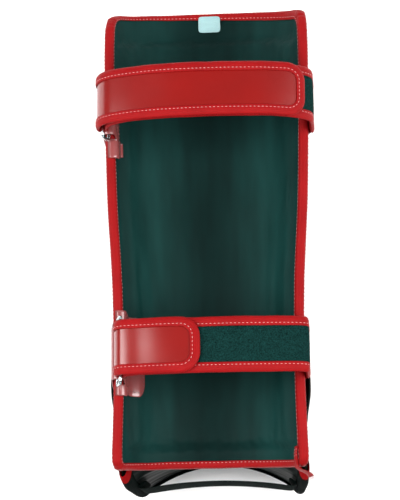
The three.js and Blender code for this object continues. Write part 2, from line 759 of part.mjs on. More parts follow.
// Anchor patch on the right wall over the strap's end
function makeAnchor(strap) {
  const half = coreWidth / 2 + anchorRoom;
  const reaches = [anchorLength + anchorBelow, anchorLength + anchorSlope, ...anchorReaches];
  const outer = half + anchorSlope;
  const columns = [-anchorWidth / 2, -outer, -half, 0, half, outer, anchorWidth / 2];
  return board(columns, reaches, (across, reach, upper) => {
    const share = 1 - reach / halfGirth;
    const along = strap.centre + across;
    const overEnd = 1 - smoothstep(reach, anchorLength + clearance, anchorLength + anchorSlope);
    const overStrap = 1 - smoothstep(Math.abs(across), half, outer);
    const lift = seatGap + (strapCore + clearance) * overEnd * overStrap;
    const height = frontHeight(share, along) + lift + (upper ? 0 : anchorThickness);
    return offset(shinSurface, share, along, -height);
  });
}

// Plain tag sewn over the knee end's tape
function makeLabel() {
  const columns = [-1, -0.4, 0, 0.4, 1].map((a) => a * labelWidth / 2 / halfGirth);
  const insets = [labelLength, tapeWidth + labelStep.to, tapeWidth + labelStep.from, tapeWidth - 1, 2];
  return board(columns, insets, (share, inset, upper) => {
    const along = kneeEnd(share) - inset;
    const onTape = 1 - smoothstep(inset, tapeWidth + labelStep.from, tapeWidth + labelStep.to);
    const low = lerp(liningTop(share, along), tapeInner, onTape) + seatGap;
    return offset(shinSurface, share, along, upper ? low + labelThickness : low);
  });
}

// The guard
function mesh(name, geometry, finish) {
  const result = new THREE.Mesh(geometry, new THREE.MeshStandardMaterial(finishes[finish]));
  result.name = name;
  return result;
}

const guard = new THREE.Group();
guard.add(mesh('shin_shell', makeShell(), 'red'));
guard.add(mesh('lining_cushion', makeLining(), 'lining'));
guard.add(mesh('edge_binding', makeEdgeBinding(), 'tape'));
guard.add(mesh('instep_pad', makeInstepPad(), 'black'));
guard.add(mesh('instep_binding', makeInstepBinding(), 'tape'));
guard.add(mesh('sole_band', makeSoleBand(), 'black'));
guard.add(mesh('label', makeLabel(), 'label'));
for (const strap of straps) {
  guard.add(mesh(`${strap.name}_strap`, makeStrap(strap), 'red'));
  guard.add(mesh(`${strap.name}_strap_binding`, makeStrapBinding(strap), 'tape'));
  guard.add(mesh(`${strap.name}_loop_tape`, makeLoopTape(strap), 'fastener'));
  guard.add(mesh(`${strap.name}_hook_tape`, makeHookTape(strap), 'fastener'));
  guard.add(mesh(`${strap.name}_ring`, makeRing(strap), 'steel'));
  guard.add(mesh(`${strap.name}_ring_tab`, makeRingTab(strap), 'red'));
  guard.add(mesh(`${strap.name}_anchor`, makeAnchor(strap), 'red'));
}
guard.rotation.x = -lean;

// Origin in the middle of the surface it lies on
const leaned = new THREE.Group();
leaned.add(guard);
leaned.updateMatrixWorld(true);
const extent = new THREE.Box3().setFromObject(leaned, true);
const middle = extent.getCenter(new THREE.Vector3());
guard.position.set(-middle.x, -middle.y, -extent.min.z);

export default leaned;
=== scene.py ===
"""Shin and instep guard: cloth, stitching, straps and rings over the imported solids, with a studio stage."""
import math
import random

import bmesh
import bpy
import numpy as np
from mathutils import Matrix, Vector, noise


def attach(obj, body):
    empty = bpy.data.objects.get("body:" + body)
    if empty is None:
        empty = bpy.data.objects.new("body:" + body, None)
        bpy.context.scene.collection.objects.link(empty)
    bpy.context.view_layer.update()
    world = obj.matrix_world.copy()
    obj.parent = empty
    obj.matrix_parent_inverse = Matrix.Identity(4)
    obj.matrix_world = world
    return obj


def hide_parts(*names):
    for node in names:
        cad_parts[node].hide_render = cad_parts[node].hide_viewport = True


bl_info = {
    "name": "Shin and instep guard",
    "version": (1, 0, 0),
    "blender": (4, 5, 0),
    "location": "View3D > Sidebar > Guard",
    "description": "Builds the cloth, stitching, straps and rings of a shin and instep guard",
    "category": "Object",
}

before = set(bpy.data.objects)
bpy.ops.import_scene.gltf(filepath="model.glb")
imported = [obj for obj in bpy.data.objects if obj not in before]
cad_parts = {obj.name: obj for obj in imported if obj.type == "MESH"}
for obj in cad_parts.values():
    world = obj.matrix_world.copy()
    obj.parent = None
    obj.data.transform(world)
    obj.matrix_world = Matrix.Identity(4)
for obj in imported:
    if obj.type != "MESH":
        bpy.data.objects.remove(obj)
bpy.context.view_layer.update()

MM = 0.001
BODY = "root"

# Fit of the solids, in millimetres: where the leaned shin part stands in the frame
LEAN = math.radians(15.141049)
SHIFT = Vector((0.5677, -191.0665, 117.9065))

# The shin part's shell, in millimetres
SHIN_LENGTH = 433.0
RIM_WIDTH = 178.0
WALL_DEPTH = 56.0
KNEE_CROWN = 18.0
ANKLE_DIP = 9.0
KNEE_CORNER = 17.0
ANKLE_CORNER = 11.0
FRONT_ANGLE = math.radians(30)
SIDE_ANGLE = math.radians(57)
SIDE_RADIUS_SHARE = 0.42
SECTIONS = (
    {"at": 0, "width": 0.885, "depth": 0.93, "flare": 0.045},
    {"at": 0.17, "width": 0.895, "depth": 0.97, "flare": 0.008},
    {"at": 0.36, "width": 0.915, "depth": 1, "flare": 0},
    {"at": 0.56, "width": 0.97, "depth": 1, "flare": 0},
    {"at": 0.85, "width": 1, "depth": 1, "flare": 0},
    {"at": 1, "width": 0.985, "depth": 0.98, "flare": 0},
)
HALF_GAP = 0.5
BOARD_EDGE = 2.6
LINING_EDGE = 1.2
FRONT_PADDING = 14.0
PADDING_RISE = 36.0
CUSHION_HEIGHT = 8.0
CUSHION_RISE = 10.0
CUSHION_CORNER = 14.0
SIDE_MARGIN = 13.0
KNEE_MARGIN = 25.0
ANKLE_MARGIN = 14.0
TAPE_WIDTH = 8.0
TAPE_FACE = 1.3
TAPE_FRONT = 4.95
TAPE_INNER = 3.55
SEAT_GAP = 0.55

# Straps, rings and tabs, in millimetres
STRAP_WIDTH = 50.0
STRAP_CORE = 1.6
CORE_WIDTH = 47.4
STRAP_TAPE = 7.5
STRAP_TIP = 16.0
TAPE_HALF = 2.05
LAYER_STEP = 4.4
FOLD_RADIUS = 4.1
ARCH_ROUNDNESS = 0.82
ARCH_SPANS = 13
ANCHOR_REACHES = (34.0, 25.5, 17.0)
ANCHOR_WIDTH = 72.0
TAB_SHIFT = 0.7
BAR_HEIGHT = 4.25
TAB_THICKNESS = 1.8
TAB_WIDTH = 73.0
RING_HALF = 28.0
LAP_TAPER = 5.0
RIM_LAP = ((-3.6, -2.5), (-3.8, 0.5), (-3.3, 3.2), (-1.8, 5.2), (0.5, 6.0))
STRAPS = {
    "upper": {"centre": 322.0, "rise": 32.0, "out": 4.0, "up": 15.0, "flap": 11, "tab": 13.0, "lap": (-46.0, 37.0)},
    "lower": {"centre": 94.0, "rise": 10.0, "out": -4.0, "up": 15.0, "flap": 6, "tab": 34.0, "lap": (-38.0, 39.0)},
}


# The stage, in metres: height of the straps over the floor, and how much of their plane the frame's height takes in
STRAP_PLANE = 0.15
FRAME_HEIGHT = 0.444

# Height over the floor above which the instep's tape is red, in metres
RED_START = 0.112

# Gloss of the coated sheets
COAT_IOR = 1.75


# Small helpers
def clamp(x, low=0.0, high=1.0):
    return max(low, min(high, x))


def smoothstep(x, low, high):
    t = clamp((x - low) / (high - low))
    return t * t * (3 - 2 * t)


def lerp(a, b, t):
    return a + (b - a) * t


def column(name, at):
    """Smooth value of a column of the sections at a share of the length."""
    last = len(SECTIONS) - 1
    i = next((k for k, row in enumerate(SECTIONS) if row["at"] > at), last)
    i = max(i, 1)
    start, end = SECTIONS[i - 1], SECTIONS[i]
    before, after = SECTIONS[max(i - 2, 0)], SECTIONS[min(i + 1, last)]
    span = end["at"] - start["at"]
    t = clamp((at - start["at"]) / span)
    slope_in = (end[name] - before[name]) / (end["at"] - before["at"]) * span
    slope_out = (after[name] - start[name]) / (after["at"] - start["at"]) * span
    curve = start[name] * (2 * t**3 - 3 * t**2 + 1) + end[name] * (3 * t**2 - 2 * t**3)
    return curve + slope_in * (t**3 - 2 * t**2 + t) + slope_out * (t**3 - t**2)


# The channel of the shin part
def arcs(front, side):
    across = math.sin(front) + SIDE_RADIUS_SHARE * (math.sin(front + side) - math.sin(front))
    depth = 1 - math.cos(front) + SIDE_RADIUS_SHARE * (math.cos(front) - math.cos(front + side))
    return across, depth


RIM_ARCS = arcs(FRONT_ANGLE, SIDE_ANGLE)
ARC_GIRTH = FRONT_ANGLE + SIDE_RADIUS_SHARE * SIDE_ANGLE


def shin_surface(share, along):
    """Point on the middle surface, share -1 at the left rim and 1 at the right rim."""
    at = along / SHIN_LENGTH
    arc = abs(share) * ARC_GIRTH
    front = min(arc, FRONT_ANGLE)
    across, depth = arcs(front, (arc - front) / SIDE_RADIUS_SHARE)
    across = math.copysign(across / RIM_ARCS[0], share)
    depth /= RIM_ARCS[1]
    half = RIM_WIDTH / 2 * column("width", at)
    flare = 1 + column("flare", at) * depth**2
    return Vector((half * across * flare, along, WALL_DEPTH * column("depth", at) * depth))


def half_girth():
    steps = 40
    points = [shin_surface(i / steps, SHIN_LENGTH / 2) for i in range(steps + 1)]
    return sum((b - a).length for a, b in zip(points, points[1:]))


HALF_GIRTH = half_girth()


def shin_normal(share, along):
    step = 0.002
    across = shin_surface(share + step, along) - shin_surface(share - step, along)
    up = shin_surface(share, along + 1) - shin_surface(share, along - 1)
    return across.cross(up).normalized()


def on_shin(flat, height):
    """Point over the shin part for a place in its flat pattern, in millimetres."""
    share = flat[0] / HALF_GIRTH
    return shin_surface(share, flat[1]) + shin_normal(share, flat[1]) * height


def to_frame(point):
    """From the shin part's millimetres to the frame's metres."""
    c, s = math.cos(LEAN), math.sin(LEAN)
    turned = Vector((point[0], point[1] * c + point[2] * s, point[2] * c - point[1] * s))
    return (turned + SHIFT) * MM


def to_shin(point):
    """From the frame's metres to the shin part's millimetres."""
    c, s = math.cos(LEAN), math.sin(LEAN)
    p = Vector(point) / MM - SHIFT
    return Vector((p.x, p.y * c - p.z * s, p.y * s + p.z * c))


def knee_end(share):
    return SHIN_LENGTH - KNEE_CROWN * share**2


def ankle_end(share):
    return -ANKLE_DIP * share**2


def corner_inset(distance, radius):
    return radius - math.sqrt(radius**2 - (radius - distance) ** 2) if distance < radius else 0.0


def shin_pattern(a, b):
    from_ankle = b * SHIN_LENGTH
    inset = corner_inset(from_ankle, ANKLE_CORNER) + corner_inset(SHIN_LENGTH - from_ankle, KNEE_CORNER)
    share = a * (1 - inset / HALF_GIRTH)
    return Vector((share * HALF_GIRTH, lerp(ankle_end(share), knee_end(share), b)))


def inside_margins(share, along, side, ankle, knee, corner):
    low = ankle_end(share) + ankle
    high = knee_end(share) - knee
    x = abs(share) * HALF_GIRTH - (HALF_GIRTH - side - corner)
    y = abs(along - (low + high) / 2) - ((high - low) / 2 - corner)
    return corner - math.hypot(max(x, 0), max(y, 0)) - min(max(x, y), 0)


def cushion_inside(share, along):
    return inside_margins(share, along, SIDE_MARGIN, ANKLE_MARGIN, KNEE_MARGIN, CUSHION_CORNER)


def lining_top(share, along):
    return HALF_GAP + LINING_EDGE + CUSHION_HEIGHT * smoothstep(cushion_inside(share, along), 0, CUSHION_RISE)


def front_height(share, along):
    free = TAPE_WIDTH + 1.5
    inside = inside_margins(share, along, free, free, free, KNEE_CORNER)
    return HALF_GAP + BOARD_EDGE + FRONT_PADDING * smoothstep(inside, 0, PADDING_RISE)


def tab_top(inset, along):
    """Height of a ring tab's upper face at a distance in from the rim."""
    lining = lining_top(-1 + inset / HALF_GIRTH, along)
    taped = 1 - smoothstep(inset, TAPE_WIDTH + 2, TAPE_WIDTH + 6)
    return max(lining, lerp(lining, TAPE_INNER, taped)) + SEAT_GAP + TAB_THICKNESS


def resample(points, step, is_loop):
    """The same line with points an even step apart."""
    line = points + [points[0]] if is_loop else points
    lengths = np.concatenate([[0], np.cumsum([(b - a).length for a, b in zip(line, line[1:])])])
    count = max(int(round(lengths[-1] / step)), 2)
    places = np.linspace(0, lengths[-1], count + 1)
    values = np.array([list(p) for p in line])
    columns = [np.interp(places, lengths, values[:, k]) for k in range(values.shape[1])]
    made = [Vector(row) for row in zip(*columns)]
    return made[:-1] if is_loop else made


def rim_outline(step):
    """The shin part's edge in its flat pattern, anticlockwise from the ankle end's left corner."""
    fine = [i / 60 for i in range(61)]
    ends = [t * 0.05 for t in fine]
    rows = ends + [0.05 + 0.9 * t for t in fine[1:]] + [1 - t for t in reversed(ends[:-1])]
    ankle = [shin_pattern(2 * t - 1, 0) for t in fine]
    right = [shin_pattern(1, t) for t in rows[1:-1]]
    knee = [shin_pattern(1 - 2 * t, 1) for t in fine]
    left = [shin_pattern(-1, t) for t in reversed(rows[1:-1])]
    return resample(ankle + right + knee + left, step, True)


def outward(outline, i, is_loop):
    """Direction out of the pattern at a point of its outline."""
    count = len(outline)
    before = outline[(i - 1) % count if is_loop else max(i - 1, 0)]
    after = outline[(i + 1) % count if is_loop else min(i + 1, count - 1)]
    way = (after - before).normalized()
    return Vector((way.y, -way.x))


# Pieces
def new_piece(name, bm, material):
    """A finished piece from a bmesh, smooth, with its place in its mesh."""
    bmesh.ops.recalc_face_normals(bm, faces=bm.faces)
    mesh = bpy.data.meshes.new(name)
    bm.to_mesh(mesh)
    bm.free()
    for polygon in mesh.polygons:
        polygon.use_smooth = True
    piece = bpy.data.objects.new(name, mesh)
    bpy.context.scene.collection.objects.link(piece)
    piece.data.materials.append(material)
    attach(piece, BODY)
    return piece


def sweep(count, profile, place, is_loop):
    """A tube round a closed profile: place(station, point, corner) gives its point in the shin part's millimetres."""
    bm = bmesh.new()
    around = len(profile)
    columns = count if is_loop else count - 1
    bmesh.ops.create_grid(bm, x_segments=columns, y_segments=around, size=0.5)
    uv = bm.loops.layers.uv.new("run")
    for face in bm.faces:
        for loop in face.loops:
            loop[uv].uv = (loop.vert.co.x + 0.5, loop.vert.co.y + 0.5)
    for vert in bm.verts:
        station = round((vert.co.x + 0.5) * columns)
        corner = round((vert.co.y + 0.5) * around)
        vert.co = to_frame(place(station % count, profile[corner % around], corner % around))
    bmesh.ops.remove_doubles(bm, verts=bm.verts, dist=1e-6)
    if not is_loop:
        bmesh.ops.holes_fill(bm, edges=[e for e in bm.edges if e.is_boundary], sides=0)
    return bm


def scale_uv(piece, length, around):
    """The run's own coordinates in metres."""
    for item in piece.data.uv_layers["run"].data:
        item.uv = (item.uv[0] * length * MM, item.uv[1] * around * MM)


def refined_copy(node, levels):
    """A bmesh of a solid's surface, merged, in quads where it can be and subdivided."""
    bm = bmesh.new()
    bm.from_mesh(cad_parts[node].data)
    bmesh.ops.remove_doubles(bm, verts=bm.verts, dist=1e-5)
    bmesh.ops.join_triangles(
        bm, faces=bm.faces, angle_face_threshold=math.radians(50), angle_shape_threshold=math.pi
    )
    mesh = bpy.data.meshes.new("refining")
    bm.to_mesh(mesh)
    bm.free()
    work = bpy.data.objects.new("refining", mesh)
    bpy.context.scene.collection.objects.link(work)
    surface = work.modifiers.new("Smooth", "SUBSURF")
    surface.levels = levels
    surface.render_levels = levels
    bpy.context.view_layer.update()
    refined = bpy.data.meshes.new_from_object(work.evaluated_get(bpy.context.evaluated_depsgraph_get()))
    bpy.data.objects.remove(work)
    bm = bmesh.new()
    bm.from_mesh(refined)
    bpy.data.meshes.remove(refined)
    bpy.data.meshes.remove(mesh)
    return bm


def displace(bm, amount):
    """Moves each point along its normal by amount(flat, spot, facing) in millimetres.

    flat is its place in the shin part's pattern, spot its place in the shin part's millimetres, and facing 1 on
    the leg side and -1 on the outside.
    """
    bm.normal_update()
    shares = np.linspace(-1, 1, 161)
    rows = {}
    moves = []
    for vert in bm.verts:
        spot = to_shin(vert.co)
        up = to_shin(vert.co + vert.normal * MM) - spot
        key = round(spot.y / 12)
        if key not in rows:
            line = np.array([(p.x, p.z) for p in (shin_surface(s, key * 12) for s in shares)])
            rows[key] = line, np.gradient(line, axis=0)
        line, slope = rows[key]
        i = int(np.argmin(((line - (spot.x, spot.z)) ** 2).sum(1)))
        facing = (up.z * slope[i][0] - up.x * slope[i][1]) / math.hypot(*slope[i])
        moves.append(amount(Vector((shares[i] * HALF_GIRTH, spot.y)), spot, facing))
    for vert, move in zip(bm.verts, moves):
        vert.co += vert.normal * move * MM


def stitch_row(rows, length, width, height):
    """A bmesh of stitches, each a small lozenge of thread on a face: rows of (point, way along, way out)."""
    bm = bmesh.new()
    for point, way, out in rows:
        side = out.cross(way).normalized()
        basis = Matrix((way.normalized(), side, out.normalized())).transposed().to_4x4()
        size = Matrix.Diagonal((length * MM / 2, width * MM / 2, height * MM / 2, 1))
        bmesh.ops.create_icosphere(bm, subdivisions=1, radius=1, matrix=Matrix.Translation(point) @ basis @ size)
    return bm


def rows_along(places, pitch, is_loop=False):
    """Stitch rows (point, way along, way out) an even pitch apart on a line of (point, way out) in metres."""
    values = np.array([[*point, *out] for point, out in (places + places[:1] if is_loop else places)])
    gaps = np.linalg.norm(np.diff(values[:, :3], axis=0), axis=1)
    lengths = np.concatenate([[0], np.cumsum(gaps)])
    stops = np.arange(pitch * MM / 2, lengths[-1], pitch * MM)
    table = np.array([np.interp(stops, lengths, values[:, k]) for k in range(6)]).T
    ahead = np.array([np.interp(stops + 0.3 * MM, lengths, values[:, k]) for k in range(3)]).T
    return [(Vector(row[:3]), Vector(next_row - row[:3]), Vector(row[3:])) for row, next_row in zip(table, ahead)]


def way_out(point_at, flat, height):
    """The frame's direction away from a surface at a place."""
    return (to_frame(point_at(flat, height + 1)) - to_frame(point_at(flat, height))).normalized()


# Straps
def ring_bars(strap):
    rim = shin_surface(-1, strap["centre"])
    tab = Vector((rim.x - TAB_SHIFT, strap["centre"], rim.z + BAR_HEIGHT))
    fold = Vector((tab.x - strap["out"], strap["centre"], tab.z + strap["up"]))
    return tab, fold


class StrapSheet:
    """The strap's middle surface: length along it from its sewn end, across it, and height from it."""

    def __init__(self, strap):
        self.strap = strap
        fold = ring_bars(strap)[1]
        centre = strap["centre"]
        spread = [shin_surface(1, centre + y).x for y in (-STRAP_WIDTH / 2, 0, STRAP_WIDTH / 2)]
        rim_x = max(spread) + TAPE_FRONT + 0.3 + TAPE_HALF
        rim_z = shin_surface(1, centre).z
        left_x = fold.x + FOLD_RADIUS
        middle, half_span = (rim_x + left_x) / 2, (rim_x - left_x) / 2
        upright = [(rim_x, z, 1, 0) for z in (rim_z - 0.75 * TAPE_WIDTH, (rim_z + fold.z) / 2)]

        def arch(t):
            c, s = math.cos(t * math.pi), max(math.sin(t * math.pi), 0)
            x = half_span * math.copysign(abs(c) ** ARCH_ROUNDNESS, c)
            nx = math.copysign(abs(c) ** (2 - ARCH_ROUNDNESS), c) / half_span
            nz = s ** (2 - ARCH_ROUNDNESS) / strap["rise"]
            size = math.hypot(nx, nz)
            return middle + x, fold.z + strap["rise"] * s**ARCH_ROUNDNESS, nx / size, nz / size

        fine = 6 * ARCH_SPANS
        over = [arch(i / fine) for i in range(fine + 1)]
        hairpin = []
        for i in range(1, 12):
            angle = -i / 12 * math.pi
            nx, nz = -math.cos(angle), -math.sin(angle)
            hairpin.append((fold.x - FOLD_RADIUS * nx, fold.z - FOLD_RADIUS * nz, nx, nz))
        flap = []
        for i in range(6 * strap["flap"] + 1):
            x, z, nx, nz = over[fine - i]
            gap = lerp(2 * FOLD_RADIUS, LAYER_STEP, smoothstep(i / 6, 0, 3))
            flap.append((x + nx * gap, z + nz * gap, -nx, -nz))
        walls = [("wall", reach) for reach in np.linspace(ANCHOR_REACHES[0], ANCHOR_REACHES[-1], 5)]
        self.stations = walls + upright + over + hairpin + flap
        self.tape_from = len(walls)
        self.fold_at = len(walls) + 2 + fine
        stops = [0.0]
        points = [self.station(i, 0)[0] for i in range(len(self.stations))]
        for a, b in zip(points, points[1:]):
            stops.append(stops[-1] + (b - a).length)
        self.stops = stops
        self.end = stops[-1]

    def station(self, i, across):
        row = self.stations[i]
        along = self.strap["centre"] + across
        if row[0] == "wall":
            share = 1 - row[1] / HALF_GIRTH
            normal = -shin_normal(share, along)
            height = front_height(share, along) + SEAT_GAP + STRAP_CORE / 2
            return shin_surface(share, along) + normal * height, normal
        x, z, nx, nz = row
        return Vector((x, along, z)), Vector((nx, 0, nz))

    def place(self, length, across, height):
        i = int(clamp(np.searchsorted(self.stops, length), 1, len(self.stops) - 1))
        t = (length - self.stops[i - 1]) / (self.stops[i] - self.stops[i - 1])
        start, start_way = self.station(i - 1, across)
        end, end_way = self.station(i, across)
        way = start_way.lerp(end_way, clamp(t)).normalized()
        return start.lerp(end, t) + way * (height + self.wave(length, across))

    def wave(self, length, across):
        """Soft unevenness of the whole strap, none where it is sewn or folded."""
        free = smoothstep(length, self.stops[self.tape_from] + 15, self.stops[self.tape_from] + 40)
        fold = abs(length - self.stops[self.fold_at] - 6)
        free *= smoothstep(fold, 8, 26)
        mirror = length if length < self.stops[self.fold_at] else 2 * self.stops[self.fold_at] + 12 - length
        way = 1 if length < self.stops[self.fold_at] else -1
        spot = Vector((mirror / 38, across / 60, self.strap["centre"]))
        return way * free * 0.8 * noise.noise(spot)

    def half(self, length):
        return CORE_WIDTH / 2 - corner_inset(self.end - length, STRAP_TIP)

    def lengths(self, low, high, step):
        """Lengths from low to high, closer together in the fold."""
        fold = self.stops[self.fold_at]
        made = [low]
        while made[-1] < high - 0.4 * step:
            close = step if abs(made[-1] - fold - 6) > 14 else step * 0.45
            made.append(min(made[-1] + close, high))
        return made

    def tip_outline(self, step, start):
        """The strap's edge, from the start of its tape round its tip and back."""
        body = self.lengths(start, self.end - STRAP_TIP, step)
        tip = [self.end - STRAP_TIP * (1 - math.sin(i / 8 * math.pi / 2)) for i in range(1, 9)]
        edge = [Vector((length, self.half(min(length, self.end - 0.001)))) for length in body + tip]
        back = [Vector((p.x, -p.y)) for p in edge]
        return back + [Vector((self.end, 0))] + list(reversed(edge))


STRAP_LINES = {name: StrapSheet(strap) for name, strap in STRAPS.items()}


def rounded_tape(width, low, high, face):
    """Closed profile (out, height) of a tape folded round an edge, soft at its fold."""
    t = 0.8
    outer = [
        (-width, high - t), (-width - 0.1, high - 0.25), (-width + 0.5, high), (-width * 0.66, high + 0.12),
        (-width * 0.3, high + 0.1), (face * 0.05, high - 0.5), (face * 0.75, high - 1.3), (face, (high + low) / 2 + 0.4),
        (face, (high + low) / 2 - 0.4), (face * 0.75, low + 1.3), (face * 0.05, low + 0.5), (-width * 0.3, low - 0.1),
        (-width * 0.66, low - 0.12), (-width + 0.5, low), (-width - 0.1, low + 0.25), (-width, low + t),
    ]
    inner = [(-0.4, low + t), (0.1, low + t + 0.3), (0.1, high - t - 0.3), (-0.4, high - t)]
    return outer + inner


# Materials
def group_node(tree, group, **values):
    node = tree.nodes.new("ShaderNodeGroup")
    node.node_tree = group
    for name, value in values.items():
        node.inputs[name.replace("_", " ")].default_value = value
    return node


def link(tree, source, target):
    tree.links.new(source, target)


def add(tree, kind, inputs=None, **settings):
    """A node with its settings and the values of its inputs."""
    node = tree.nodes.new(kind)
    for name, value in settings.items():
        setattr(node, name, value)
    for name, value in (inputs or {}).items():
        if isinstance(value, bpy.types.NodeSocket):
            tree.links.new(value, node.inputs[name])
        else:
            node.inputs[name].default_value = value
    return node


def math_node(tree, operation, a, b=0.0, c=0.0):
    node = tree.nodes.new("ShaderNodeMath")
    node.operation = operation
    for i, value in enumerate((a, b, c)):
        if isinstance(value, bpy.types.NodeSocket):
            tree.links.new(value, node.inputs[i])
        else:
            node.inputs[i].default_value = value
    return node.outputs[0]


def start_group(name, inputs, outputs):
    group = bpy.data.node_groups.new(name, "ShaderNodeTree")
    for label, kind, default in inputs:
        socket = group.interface.new_socket(label, in_out="INPUT", socket_type=kind)
        if default is not None:
            socket.default_value = default
    for label, kind in outputs:
        group.interface.new_socket(label, in_out="OUTPUT", socket_type=kind)
    return group, group.nodes.new("NodeGroupInput"), group.nodes.new("NodeGroupOutput")


def uneven_group():
    """Soft unevenness of colour and gloss over a cloth or a coated sheet."""
    group, given, result = start_group(
        "Uneven", [("Place", "NodeSocketVector", None), ("Size", "NodeSocketFloat", 20.0), ("Amount", "NodeSocketFloat", 0.2)],
        [("Shade", "NodeSocketFloat"), ("Mask", "NodeSocketFloat")],
    )
    broad = add(group, "ShaderNodeTexNoise", {"Vector": given.outputs["Place"], "Scale": given.outputs["Size"], "Detail": 5.0})
    around = math_node(group, "SUBTRACT", broad.outputs["Fac"], 0.5)
    shade = math_node(group, "MULTIPLY_ADD", around, given.outputs["Amount"], 1.0)
    link(group, shade, result.inputs["Shade"])
    link(group, broad.outputs["Fac"], result.inputs["Mask"])
    return group


def weave_group():
    """Threads crossing at a pitch in metres, as a height and a mask of the gaps."""
    group, given, result = start_group(
        "Weave", [("Place", "NodeSocketVector", None), ("Pitch", "NodeSocketFloat", 0.0006), ("Ribs", "NodeSocketFloat", 0.0)],
        [("Height", "NodeSocketFloat"), ("Gaps", "NodeSocketFloat")],
    )
    split = add(group, "ShaderNodeSeparateXYZ", {"Vector": given.outputs["Place"]})
    turns = math_node(group, "DIVIDE", 2 * math.pi, given.outputs["Pitch"])
    waves = []
    for axis in "XYZ":
        angle = math_node(group, "MULTIPLY", split.outputs[axis], turns)
        waves.append(math_node(group, "SINE", angle))
    across = math_node(group, "MULTIPLY", waves[0], waves[1])
    through = math_node(group, "MULTIPLY", waves[1], waves[2])
    cross = math_node(group, "ADD", across, through)
    ribbed = math_node(group, "MULTIPLY", waves[0], given.outputs["Ribs"])
    height = math_node(group, "ADD", cross, ribbed)
    link(group, height, result.inputs["Height"])
    link(group, math_node(group, "LESS_THAN", height, -0.6), result.inputs["Gaps"])
    return group


def grain_group():
    """Fine pebbled grain with shallow creases, as on coated artificial leather."""
    group, given, result = start_group(
        "Grain", [("Place", "NodeSocketVector", None), ("Size", "NodeSocketFloat", 900.0), ("Creases", "NodeSocketFloat", 0.5)],
        [("Height", "NodeSocketFloat"), ("Mask", "NodeSocketFloat")],
    )
    pebbles = add(
        group, "ShaderNodeTexVoronoi", {"Vector": given.outputs["Place"], "Scale": given.outputs["Size"]}, feature="DISTANCE_TO_EDGE"
    )
    stretched = add(group, "ShaderNodeMapping", {"Vector": given.outputs["Place"], "Scale": (1.0, 0.35, 1.0)})
    creases = add(group, "ShaderNodeTexNoise", {"Vector": stretched.outputs["Vector"], "Scale": 70.0, "Detail": 6.0, "Distortion": 0.6})
    ridge = math_node(group, "ABSOLUTE", math_node(group, "SUBTRACT", creases.outputs["Fac"], 0.5))
    soft = math_node(group, "MULTIPLY", ridge, given.outputs["Creases"])
    small = math_node(group, "MULTIPLY", pebbles.outputs["Distance"], 0.12)
    link(group, math_node(group, "ADD", small, soft), result.inputs["Height"])
    link(group, math_node(group, "LESS_THAN", ridge, 0.012), result.inputs["Mask"])
    return group


def start_material(name, colour, roughness, **constants):
    material = bpy.data.materials.new(name)
    material.use_nodes = True
    tree = material.node_tree
    shader = tree.nodes["Principled BSDF"]
    shader.inputs["Base Color"].default_value = (*colour, 1)
    shader.inputs["Roughness"].default_value = roughness
    for label, value in constants.items():
        shader.inputs[label.replace("_", " ")].default_value = value
    return material, tree, shader


def object_place(tree):
    return tree.nodes.new("ShaderNodeTexCoord").outputs["Object"]


def run_place(tree):
    return add(tree, "ShaderNodeUVMap", uv_map="run").outputs["UV"]


def shaded(tree, shader, colour, shade):
    """The base colour made lighter and darker by a shade."""
    mixed = add(tree, "ShaderNodeVectorMath", {0: tuple(colour)}, operation="SCALE")
    link(tree, shade, mixed.inputs["Scale"])
    link(tree, mixed.outputs["Vector"], shader.inputs["Base Color"])
    return mixed


def bump(tree, shader, height, strength, distance, under=None):
    node = add(tree, "ShaderNodeBump", {"Strength": strength, "Distance": distance, "Height": height})
    if under is not None:
        link(tree, under, node.inputs["Normal"])
    link(tree, node.outputs["Normal"], shader.inputs["Normal"])
    return node.outputs["Normal"]


def coated_material(groups, name, colour, roughness, grain, creases, coat):
    """Glossy coated sheet with a pebbled grain."""
    material, tree, shader = start_material(
        name, colour, roughness, Coat_Weight=coat, Coat_Roughness=0.22, Coat_IOR=COAT_IOR,
        Specular_IOR_Level=0.02,
    )
    place = object_place(tree)
    uneven = group_node(tree, groups["uneven"], Size=28.0, Amount=0.35)
    link(tree, place, uneven.inputs["Place"])
    shaded(tree, shader, colour, uneven.outputs["Shade"])
    rough = math_node(tree, "MULTIPLY_ADD", uneven.outputs["Mask"], 0.16, roughness - 0.08)
    link(tree, rough, shader.inputs["Roughness"])
    fine = group_node(tree, groups["grain"], Size=grain, Creases=creases)
    link(tree, place, fine.inputs["Place"])
    bump(tree, shader, fine.outputs["Height"], 0.22, 0.0006)
    return material


def woven_material(groups, name, colour, pitch, ribs, roughness, follows_run, **constants):
    """Woven tape or cloth with a thread pattern."""
    material, tree, shader = start_material(name, colour, roughness, **constants)
    place = run_place(tree) if follows_run else object_place(tree)
    uneven = group_node(tree, groups["uneven"], Size=45.0, Amount=0.4)
    link(tree, object_place(tree), uneven.inputs["Place"])
    weave = group_node(tree, groups["weave"], Pitch=pitch, Ribs=ribs)
    link(tree, place, weave.inputs["Place"])
    # Painted shade: the weave's gaps, its lowest points, are made darker.
    dark = math_node(tree, "MULTIPLY_ADD", weave.outputs["Gaps"], -0.25, 1.0)
    shaded(tree, shader, colour, math_node(tree, "MULTIPLY", uneven.outputs["Shade"], dark))
    bump(tree, shader, weave.outputs["Height"], 0.35, pitch * 0.25)
    return material


